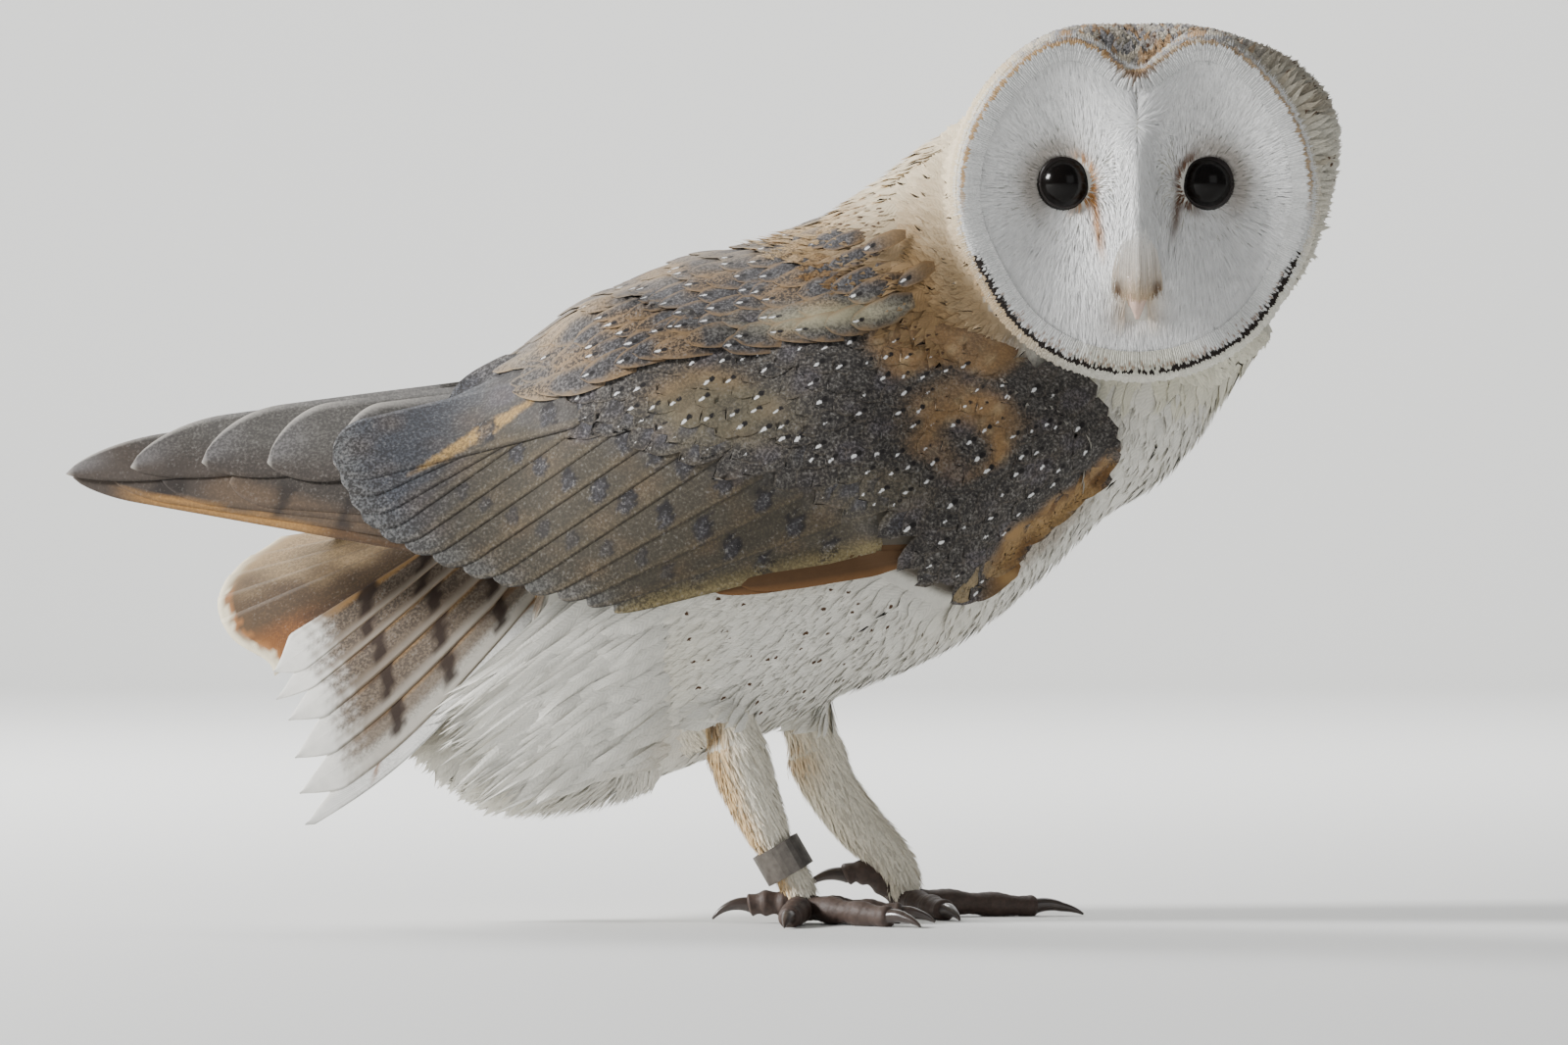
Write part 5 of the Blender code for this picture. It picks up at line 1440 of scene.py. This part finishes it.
# Rusty feathers under the wing: root (x, height), heading in degrees, length and width.
LENS = ((60.0, 104.5, 190.5, 64.0, 8.0), (58.0, 102.5, 190.5, 56.0, 8.0), (57.0, 101.0, 189.5, 46.0, 7.0))
BLOTCH_EVERY = 18.4
TIP_GREY, TIP_HIGHLIGHT, HAND_SHADE = (0.21, 0.20, 0.20), (0.42, 0.39, 0.34), (0.09, 0.072, 0.06)
LENS_SHADOW, LENS_RUST = (0.080, 0.040, 0.015), (0.19, 0.090, 0.032)
BLOTCH_GREY, BLOTCH_BLACK, BLOTCH_BLUE = (0.062, 0.060, 0.068), (0.016, 0.014, 0.016), (0.070, 0.070, 0.085)
FRINGE_GOLD, FRINGE_PALE = (0.34, 0.21, 0.085), (0.27, 0.235, 0.15)

for side, name in ((-1, "right"), (1, "left")):
    random = np.random.default_rng(91)

    # Flight feathers of the hand.
    tip_x, tip_z, slope, wide, long = np.array(HAND).T
    count, heading = len(HAND), 180.0 + slope
    upper = (np.arange(count) > 3)[:, None, None]
    tips = np.stack([tip_x, tip_z], -1)
    points, s, t = wing_vanes(side, tips, heading, long, wide, 56, 11, -2.6 + 0.36 * np.arange(count), 0.2,
                              camber=0.3, tip=np.where(upper, 0.76, 0.86), lean=0.32, blunt=0.7)
    points[..., 1] -= side * 2.2 * ramp(-s, -0.45, -0.2)
    from_tip = (1 - s) * long[:, None, None]
    base, low = hand_paint(points[..., 0], points[..., 2])
    # Painted light and shade on the five tips that show: a pale rim along one edge and round each tip is
    # painted highlight, and a darker line on each side of the shaft and the darker other half are painted
    # shade.
    rim = np.maximum(ramp(-t, 0.80, 0.96), ramp(-from_tip, -1.8, -0.4)) * upper * ramp(-from_tip, -34, -10)
    shade = ramp(-np.abs(np.abs(t) - 0.72), -0.16, -0.04) * upper * ramp(-from_tip, -34, -8)
    base = mixed(base, TIP_GREY, 0.65 * ramp(-from_tip, -17, -2) * upper * ramp(-t, -0.8, 0.3))
    base = mixed(base * (1 - 0.18 * shade)[..., None], TIP_HIGHLIGHT, 0.65 * rim)
    # Painted shadow: a dark line along one edge of the four under feathers, where the next one lies over it.
    base = mixed(base, (0.09, 0.07, 0.06), 0.35 * ramp(t, 0.90, 0.99) * ~upper)
    base = mixed(base, HAND_SHADE, 0.55 * ramp(t, -0.1, 0.9) * upper * (1 - rim))
    marks = feather_marks(points, (0.50 - 0.25 * low) * (1 - rim))
    hand = patterned("hand_feathers_" + name, points, base, marks)
    thickened(hand)
    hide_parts("primaries_" + name)

    # Rusty feathers under the wing, seen along the middle of its lower edge.
    x0, z0, heading, long, wide = np.array(LENS).T
    tips = np.stack([x0, z0], -1) + long[:, None] * headed(heading)
    points, s, t = wing_vanes(side, tips, heading, long, wide, 24, 7,
                              -2.2 + 0.3 * np.arange(3), 0.3, tip=0.6)
    # Painted shadow: the upper part, under the wing's edge, is darker brown; the lower part is rust.
    base = mixed(LENS_SHADOW, LENS_RUST, 0.8 * ramp(t, 0.45, 0.85))
    patterned("underwing_feathers_" + name, points, base, 0.0)

    # Flight feathers of the arm: tips along the lower rear edge, blotched at even steps.
    count = 13
    tips = along(ARM_TIPS, np.linspace(0, 1, count))
    heading = 180.0 + read_line(ARM_SLOPES, np.arange(count))
    long, wide = np.linspace(92, 84, count), np.linspace(13.0, 17.0, count)
    lean = np.interp(np.arange(count), (0, 4), (0.8, 0.1))[:, None, None]
    points, s, t = wing_vanes(side, tips, heading, long, wide, 88, 19, -1.5 + 0.20 * np.arange(count), 0.3,
                              camber=0.10, tip=0.88, lean=lean)
    points[..., 1] -= side * 2.4 * ramp(-s, -0.22, -0.08)
    from_tip = (1 - s) * long[:, None, None] + random.normal(0, 0.7, (count, 1, 1))
    base, _, _ = wing_paint(points[..., 0], points[..., 2])
    rear = ramp(-points[..., 0] + 0.4 * (points[..., 2] - 120), 58, 84)
    base = base * random.normal(1, 0.05, (count, 1, 1, 1))
    base = mixed(base, (0.155, 0.155, 0.15), 0.7 * ramp(-from_tip, -12, -1))
    step_to = (from_tip - 6) / BLOTCH_EVERY
    step_to = (step_to - np.round(step_to)) * BLOTCH_EVERY
    across = (t - 0.42) * wide[:, None, None] / 2
    strong = ramp(from_tip, 27, 33)
    # How far from a blotch's middle, 1 at its edge, which two sizes of waves make uneven.
    inside = np.hypot(step_to / 2.8, (across + 0.4 * step_to) / 2.9) / (0.72 + 0.28 * strong)
    inside = inside + 0.42 * ripple(points, 1.3) + 0.2 * ripple(points, 0.6)
    fade = (1 - 0.75 * rear) * ramp(from_tip, 14, 20) * (0.55 + 0.45 * strong)
    dark_edge = ramp(-np.abs(inside - 0.85), -0.34, -0.12) * ramp(step_to - 0.6 * across, -2.2, 0.2)
    base = mixed(base, BLOTCH_GREY, 0.9 * fade * ramp(-inside, -1.1, -0.85))
    base = mixed(base, BLOTCH_BLACK, 0.95 * fade * dark_edge)
    base = mixed(base, (0.15, 0.115, 0.065), 0.45 * ramp(-np.abs(t - 0.84), -0.10, -0.04) * (1 - 0.7 * rear))
    # Painted shadow: a thin dark line along one edge of each feather, as the shadow of the feather over it.
    base = mixed(base, (0.034, 0.027, 0.021), 0.55 * ramp(t, 0.93, 0.98) * (1 - 0.6 * rear))
    first = (np.arange(count) < 1)[:, None, None]
    base = mixed(base, (0.26, 0.205, 0.09), 0.7 * first * ramp(t, 0.1, 0.8))
    dusky = ramp(-from_tip, -22, -6)
    pepper = 0.46 + 0.22 * dusky + 0.16 * rear + 0.35 * fade * ramp(-inside, -1.2, -0.9)
    arm = patterned("arm_feathers_" + name, points, base, feather_marks(points, pepper))
    thickened(arm)

    # Coverts: staggered rows over the whole arm, each row's tips over the next row's roots.
    run, gap = 5.4, 5.8
    u, v = np.meshgrid(np.arange(-44, 44) * run, np.arange(-28, 28) * gap, indexing="ij")
    v = v + gap / 2 * (np.arange(88)[:, None] % 2) + random.normal(0, 0.8, u.shape)
    u = u + random.normal(0, 1.0, u.shape)
    ahead, up = headed(215)
    tips = np.stack([20 + u * ahead - v * up, 130 + u * up + v * ahead], -1).reshape(-1, 2)
    tx, tz = tips.T
    ragged_edge = read_line(COVERT_EDGE, tx) + random.normal(0, 1.2, len(tx))
    highest = np.minimum(smooth(WING_UPPER, tx) + 4 * ramp(tx, 36, 50), smooth(MANTLE_EDGE, tx) + 4)
    lowest = smooth(WING_LOWER, tx) + 0.8 + 1.5 * ramp(tx, 70, 90)
    on_arm = (tx < 110) & (tx > -100) & (tz < highest - 2.0 - 7.5 * ramp(tx, 70, 88))
    tips = tips[on_arm & (tz > lowest) & (tz > ragged_edge)]
    tips = tips[np.argsort(tips[:, 0])]
    n = len(tips)
    low_rows = ramp(read_line(COVERT_EDGE, tips[:, 0]) + 12 - tips[:, 1], 0, 8)
    long = random.uniform(11.5, 14.5, n) * (1 + 0.8 * low_rows)
    wide = random.uniform(7.4, 8.8, n) * (1 + 0.2 * low_rows)
    heading = 216.0 + random.normal(0, 4, n) - 20 * ramp(-tips[:, 0], 40, 80) + 12 * ramp(tips[:, 0], 82, 100)
    # Near the front edge they are short, so that no root stands out over the breast.
    room = (114.0 - tips[:, 0]) / np.maximum(-np.cos(np.radians(heading)), 0.3)
    long = np.clip(long, 5.0, np.maximum(room, 5.0))
    points, s, t = wing_vanes(side, tips, heading, long, wide, 12, 7, 0.15 - 0.2 * low_rows,
                              0.75 - 0.25 * low_rows, tip=0.45, ragged=0.05)
    base, local, _ = wing_paint(points[..., 0], points[..., 2])
    _, _, pearls = wing_paint(tips[:, 0], tips[:, 1])
    base = base * random.normal(1, 0.06, (n, 1, 1, 1))
    border = ramp(np.abs(t) + 0.4 * np.clip(s - 0.7, 0, 1), 0.85, 1.1)
    base = mixed(base, (0.15, 0.115, 0.07), 0.3 * border)
    off_blotch = np.hypot(((1 - s) * long[:, None, None] - 6.5) / 3.0, t / 0.62)
    blotched = (low_rows * (random.random(n) < 0.7))[:, None, None] * ramp(-off_blotch, -1.1, -0.8)
    base = mixed(base, BLOTCH_BLUE, 0.75 * blotched)
    strength = (random.random(n) < 0.72) * pearls * (1 - 0.8 * low_rows) * random.uniform(0.55, 1.15, n)
    marks = feather_marks(points, local * (1 - 0.3 * border), strength[:, None, None])
    coverts = patterned("covert_feathers_" + name, points, base, marks)
    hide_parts("wing_" + name)

    # A fringe of rusty gold feathers finishes the front of the lower edge.
    n = 70
    share = np.sort(random.uniform(0, 1, n))
    edge_x = np.interp(share, (0, 0.35, 0.7, 1), (110, 101, 84, 70))
    edge_z = np.interp(share, (0, 0.35, 0.7, 1), (123, 114.5, 101, 88.5))
    tips = np.stack([edge_x, edge_z], -1) + random.normal(0, 0.5, (n, 2))
    heading = 180.0 + np.interp(share, (0, 0.4, 1), (58, 46, 38)) + random.normal(0, 6, n)
    long, wide = random.uniform(7.5, 10.5, n), random.uniform(3.2, 4.4, n)
    points, s, t = wing_vanes(side, tips, heading, long, wide, 10, 7, 0.5, 0.25, tip=0.4, ragged=0.08)
    base = mixed(RUSTY, FRINGE_GOLD, ramp(ripple(points, 4.0) + 0.8 * (s - 0.5), -0.6, 0.4))
    base = mixed(base, FRINGE_PALE, 0.6 * ramp(share, 0.72, 0.92)[:, None, None])
    base = mixed(base, PEPPER, 0.8 * ramp(-s, -0.45, -0.1))
    base = base * random.normal(1, 0.09, (n, 1, 1, 1))
    patterned("wing_fringe_" + name, points, base, feather_marks(points, 0.30 + 0.6 * ramp(-s, -0.5, -0.2)))

# ---- Tail ----
# Twelve feathers in a rolled fan, the middle pair on top and each next one under its neighbour.
# The near ones show strips of peppered grey and white, with a golden line, dark bars and pointed
# white tips; those of the far half close up into one rounded tawny lobe with a cream rim, with
# painted shade in its cup and painted sunlight on its rim.

TAIL_ROOT = ((-45, 15, 118), (-56, 0, 114), (-38, -15, 93))
TAIL_TIPS = ((-119, 35, 107), (-131, 28, 98), (-135.5, 18, 88), (-131, 8, 78), (-119.5, 0, 70.5),
             (-117.5, -6, 61), (-114, -12, 55.5), (-112, -18, 45.5), (-110.5, -24, 36), (-108.5, -30, 26.5))
TAIL_MIDDLES = (0.03, 0.10, 0.17, 0.24, 0.31, 0.38, 0.47, 0.556, 0.667, 0.778, 0.889, 0.985)
TAIL_BOW = 5.0


def tail_at(across, down):
    """Point of the fan's sheet: straight from the smooth line of roots to that of tips, with a
    sine's bow outwards that grows with the fourth power of the way across to the near side."""
    root, tip = along(TAIL_ROOT, across), along(TAIL_TIPS, across)
    bow = TAIL_BOW * np.sin(np.pi * np.clip(down, 0, 1) ** 1.5) * across**4
    return root + (tip - root) * down[..., None] + bow[..., None] * np.array((0.75, 0, -0.65))


s, t = vane_grid(72, 15)
middle = np.array(TAIL_MIDDLES)[:, None, None]
feather = np.arange(len(TAIL_MIDDLES))
near = (middle > 0.42).astype(float)
taper = np.clip(1 - np.clip((s - 0.865) / 0.135, 0, 1) ** 1.15, 0.02, 1)
half = (0.066 * near + 0.10 * (1 - near)) * np.minimum(0.6 + 2 * s, 1) * np.where(near > 0, taper, 1.0)
across = np.clip(middle + t * half, 0.0, 1.0)
down = np.broadcast_to(s, across.shape)
by_across = tail_at(np.clip(across + 0.01, 0, 1), down) - tail_at(np.clip(across - 0.01, 0, 1), down)
flat = unit(np.cross(by_across, tail_at(across, down + 0.01) - tail_at(across, down - 0.01)))
flat *= np.where(flat[..., 1:2].mean() > 0, -1.0, 1.0)
stack = -0.42 * np.abs(feather - 6)[:, None, None]
points = tail_at(across, down) + flat * (stack + 1.4 - 0.4 * t**2 * near + 0.3 * s)[..., None]
s, t = np.broadcast_to(s, across.shape), np.broadcast_to(t, across.shape)
wave, fine = ripple(points, 6.0), ripple(points, 1.7, 3.0)
ends = tail_at(middle, 1.0 + 0 * middle) - tail_at(middle, 0.0 * middle)
from_tip = (1 - s) * np.linalg.norm(ends, axis=-1)

# Near strips: a golden line by the upper edge, peppered grey down the middle, white below; the
# further out and the nearer the tip, the whiter. Bars stand at even steps.
BAR_EVERY = 20.5
STRIP_BROWN, STRIP_PALE, STRIP_WHITE = (0.170, 0.128, 0.090), (0.50, 0.47, 0.41), (0.80, 0.78, 0.72)
STRIP_GOLD, STRIP_DARK_GOLD, STRIP_EDGE_SHADE = (0.33, 0.185, 0.065), (0.14, 0.07, 0.025), (0.24, 0.15, 0.07)
BAR_BLACK, LAST_WHITE, ARC_BROWN = (0.026, 0.014, 0.009), (0.74, 0.73, 0.69), (0.24, 0.11, 0.04)
outward = 0.9 * ramp(middle, 0.68, 1.0)
tipward = ramp(-from_tip + 4 * fine, -22, -11)
pale = np.clip(ramp(t + 0.8 * outward, 0.45, 1.0) + 0.15 * outward, 0, 1)
strip = mixed(STRIP_BROWN, STRIP_PALE, pale * (0.4 + 0.6 * ramp(middle, 0.72, 0.92)))
golden = ramp(-np.abs(t + 0.78), -0.34, -0.12) * (1 - 0.35 * outward) * ramp(from_tip, 14, 30)
strip = mixed(strip, mixed(STRIP_GOLD, STRIP_DARK_GOLD, ramp(wave, 0.0, 0.7)), 0.9 * golden)
strip = mixed(strip, STRIP_WHITE, tipward)
bar_off = (from_tip - 32.0 - 1.5 * outward + 2.6 * (t - 0.1)) / BAR_EVERY
bar_off = (bar_off - np.round(bar_off)) * BAR_EVERY + 0.8 * fine
clear_of_tip = ramp(from_tip, 24, 28)
bars = ramp(-np.abs(bar_off) + 1.3 * ripple(points, 2.6, 1.0), -4.0, -1.6) * ramp(-t, -0.72, -0.45)
bars = bars * clear_of_tip
trail = ramp(-np.abs(t + 0.55), -0.2, -0.05) * ramp(-bar_off, 0.5, 2.0) * ramp(bar_off, -9.0, -4.0)
trail = trail * clear_of_tip
strip = mixed(strip, BAR_BLACK, np.clip(0.95 * bars + 0.55 * trail, 0, 0.95))
# Painted shade: a thin golden-brown line along the lower edge of each strip, away from the tips.
strip = mixed(strip, STRIP_EDGE_SHADE, 0.6 * ramp(t, 0.84, 0.97) * (1 - tipward) * (1 - 0.5 * outward))
last = (feather == len(feather) - 1)[:, None, None]
arc = ramp(-np.abs(from_tip - 22 + 6 * t), -1.3, -0.5) * ramp(-t, -0.3, 0.3)
strip = mixed(strip, mixed(LAST_WHITE, ARC_BROWN, 0.85 * arc), last * ramp(t, -0.75, -0.35))

# Far lobe: tawny with brown mottles, darkening towards the middle as painted shade in its cup, with a darker
# streak of painted shade; a cream rim round the end, partly the tips' pale edge and partly painted sunlight;
# orange along its lower side.
LOBE_TAWNY, LOBE_MOTTLE_AND_SHADE, LOBE_SHADE = (0.34, 0.235, 0.12), (0.10, 0.062, 0.032), (0.07, 0.038, 0.02)
LOBE_RUST, LOBE_ORANGE, LOBE_SUNLIT_CREAM = (0.26, 0.10, 0.028), (0.36, 0.16, 0.055), (0.78, 0.69, 0.50)
to_edge = from_tip - 1.2 * fine
# Brown mottles, and painted shade that deepens across the lobe towards its middle.
mottled = ramp(0.5 * wave + 6.0 * (across - 0.13 - 0.002 * from_tip), -0.5, 0.9)
lobe = mixed(LOBE_TAWNY, LOBE_MOTTLE_AND_SHADE, mottled)
lobe = mixed(lobe, LOBE_RUST, 0.8 * ramp(across, 0.33, 0.40) * ramp(-to_edge, -30, -12))
# Painted shade: a dark streak inside the cup.
from_lobe_shade = np.abs(across - 0.40 - 0.0012 * (from_tip - 20))
lobe = mixed(lobe, LOBE_SHADE, 0.75 * ramp(-from_lobe_shade, -0.035, -0.012) * ramp(from_tip, 14, 20))
orange = ramp(-np.abs(to_edge - 3.4), -0.9, -0.3) * ramp(across, 0.14, 0.24)
lobe = mixed(lobe, LOBE_ORANGE, 0.8 * orange)
# Painted sunlight on the tips' pale edge: a cream rim round the end.
cream_from = -3.0 - 7.0 * ramp(-across, -0.24, -0.08)
cream = ramp(-to_edge - 5.0 * ramp(-across, -0.24, -0.05), cream_from, -2.2)
lobe = mixed(lobe, LOBE_SUNLIT_CREAM, cream)
base = mixed(lobe, strip, near)
near_pepper = 0.62 * ramp(-np.abs(t + 0.1), -0.75, -0.4) * (1 - 0.75 * outward) * (1 - tipward) * (1 - bars)
marks = feather_marks(points, np.where(near > 0, near_pepper, 0.35 * ramp(to_edge, 4, 10)))
tail_fan = patterned("tail_feathers", points, base, marks, "barred_tail_plumage")
thickened(tail_fan)
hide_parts("tail")

# ---- Bill ----
# Pale pinkish horn, the upper part hooked down over the lower, mostly sunk in the face's bristles.

# Each a row of (y, height from the middle of the head, radius).
BILL_UPPER = ((-44.5, -17, 4.4), (-49, -23, 4.2), (-51, -29, 2.9), (-50, -34, 0.7))
BILL_LOWER = ((-38, -25, 3.6), (-43, -28.5, 3.2), (-45.5, -31.5, 1.2))
BILL_NARROWING = 0.22  # how much narrower than high the tip is, as a share
bill_material = plain_material("pinkish bill horn", (0.62, 0.44, 0.36), 0.35, 260.0, 0.25, 0.0001,
                               Coat_Weight=0.3)
for rows_of, name in ((BILL_UPPER, "bill_upper"), (BILL_LOWER, "bill_lower")):
    rows = along(rows_of, np.linspace(0, 1, 22))
    path = at_head(0.0, rows[:, 0], rows[:, 1])
    rings = tube(path, rows[:, 2], 30, crosswise=(1.0, 0.0, 0.0))
    narrow = 1 - BILL_NARROWING * np.linspace(0, 1, 22)[:, None]
    rings[..., 0] = HEAD_CENTRE[0] + (rings[..., 0] - HEAD_CENTRE[0]) * narrow
    shell_piece(name + "_horn", rings, bill_material, name)

# ---- Feet ----
# Greyish pink toes, ringed by small scales above and padded below, each with a long dark claw.

PALM_AHEAD = 1.6
# Toes of the right foot, then the left: name, heading in degrees, length, rise, claw's chord.
TOES = ((("hallux", 176, 15.0, 2.4, 12.0), ("inner_toe", -6, 28.0, 0.0, 11.0),
         ("middle_toe", -44, 34.0, 0.0, 13.0), ("outer_toe", -98, 26.6, 0.0, 11.0)),
        (("hallux", 183, 17.0, 9.5, 14.0), ("inner_toe", -66, 28.0, 0.0, 11.0),
         ("middle_toe", 4, 38.0, 0.0, 15.0), ("outer_toe", 80, 27.0, 0.0, 11.0)))
PALMS = ((26.6 + PALM_AHEAD, -22.0), (55.3 + PALM_AHEAD, 20.0))
TOE_RADIUS, TOE_TIP_RADIUS, TOE_SINK, KNUCKLE_SWELL, TOE_FALL = 3.7, 3.0, 0.86, 0.35, 1.4
CLAW_RADIUS, CLAW_TIP_RADIUS, CLAW_TURN, CLAW_LIFT = 2.2, 0.3, 72.0, 18.0
toe_material = plain_material("scaly toe skin", (0.066, 0.042, 0.032), 0.6, 700.0, 0.6, 0.0005)
claw_material = plain_material("dark claw horn", (0.045, 0.03, 0.024), 0.3, 300.0, 0.4, 0.0001,
                               Coat_Weight=0.4)


def toe_shell(palm, heading, length, rise):
    """A round tube out of the palm along the floor, its radius swollen at three joints by a cosine
    and grooved across by its scales, with what would go under the floor laid flat on it."""
    share = np.linspace(1.5 / length, 1, 70)
    way = headed(heading)
    flat = np.array(palm) + way * (length * share)[:, None]
    radii = TOE_RADIUS + (TOE_TIP_RADIUS - TOE_RADIUS) * share
    z = radii * TOE_SINK + rise * np.sin(share * np.pi * 0.62) + TOE_FALL * (1 - share)
    grooves = 0.10 * np.abs(np.sin(length * share * np.pi / 2.3))
    rounded = np.sqrt(np.clip(1 - ((share - 0.93) / 0.075).clip(0, 1) ** 2, 0.01, 1))
    radii = (radii + KNUCKLE_SWELL * np.cos(share * 6 * np.pi) + grooves) * rounded
    rings = tube(np.concatenate([flat, z[:, None]], 1), radii, 28)
    rings[..., 2] = np.maximum(rings[..., 2], 0.02)
    return rings, np.array([*(np.array(palm) + way * (length - 1.6)), z[-1]])


def claw_shell(start, heading, chord):
    """Sections along an arc that leaves the toe rising and curves down to the floor."""
    turn, lift = np.radians(CLAW_TURN), np.radians(CLAW_LIFT)
    bend = chord / (2 * np.sin(turn / 2))
    share = np.linspace(0, 1, 30)
    angle = turn * share - lift
    out = bend * (np.sin(angle) + np.sin(lift))
    drop = bend * (np.cos(angle) - np.cos(lift))
    drop = np.where(drop < 0, drop * min(1.0, (start[2] - CLAW_TIP_RADIUS - 0.15) / -drop[-1]), drop)
    way = headed(heading)
    path = np.stack([start[0] + way[0] * out, start[1] + way[1] * out, start[2] + drop], -1)
    rings = tube(path, CLAW_RADIUS + (CLAW_TIP_RADIUS - CLAW_RADIUS) * share**1.25, 18)
    rings[..., 2] = np.maximum(rings[..., 2], 0.1)
    return rings


for palm, toes, name in zip(PALMS, TOES, ("right", "left")):
    for toe_name, heading, length, rise, chord in toes:
        rings, end = toe_shell(palm, heading, length, rise)
        shell_piece(f"{toe_name}_skin_{name}", rings, toe_material, f"{toe_name}_{name}")
        shell_piece(f"{toe_name}_horn_{name}", claw_shell(end, heading, chord), claw_material,
                    f"{toe_name}_claw_{name}")

# ---- Leg ring ----
# A plain closed band of scuffed aluminium round the right shank. The solid's shape is right, so it
# stays and takes a better metal, darkened and tinted grey-brown as painted shade and painted
# reflection of the plumage round it.

# Painted shade and painted reflection: the metal's colour is dark grey-brown.
ring_metal_with_painted_shade = plain_material("scuffed aluminium", (0.20, 0.18, 0.16), 0.46, 420.0, 0.6, 0.0002,
                               Metallic=1.0)
nodes["leg_ring"].data.materials.clear()
nodes["leg_ring"].data.materials.append(ring_metal_with_painted_shade)
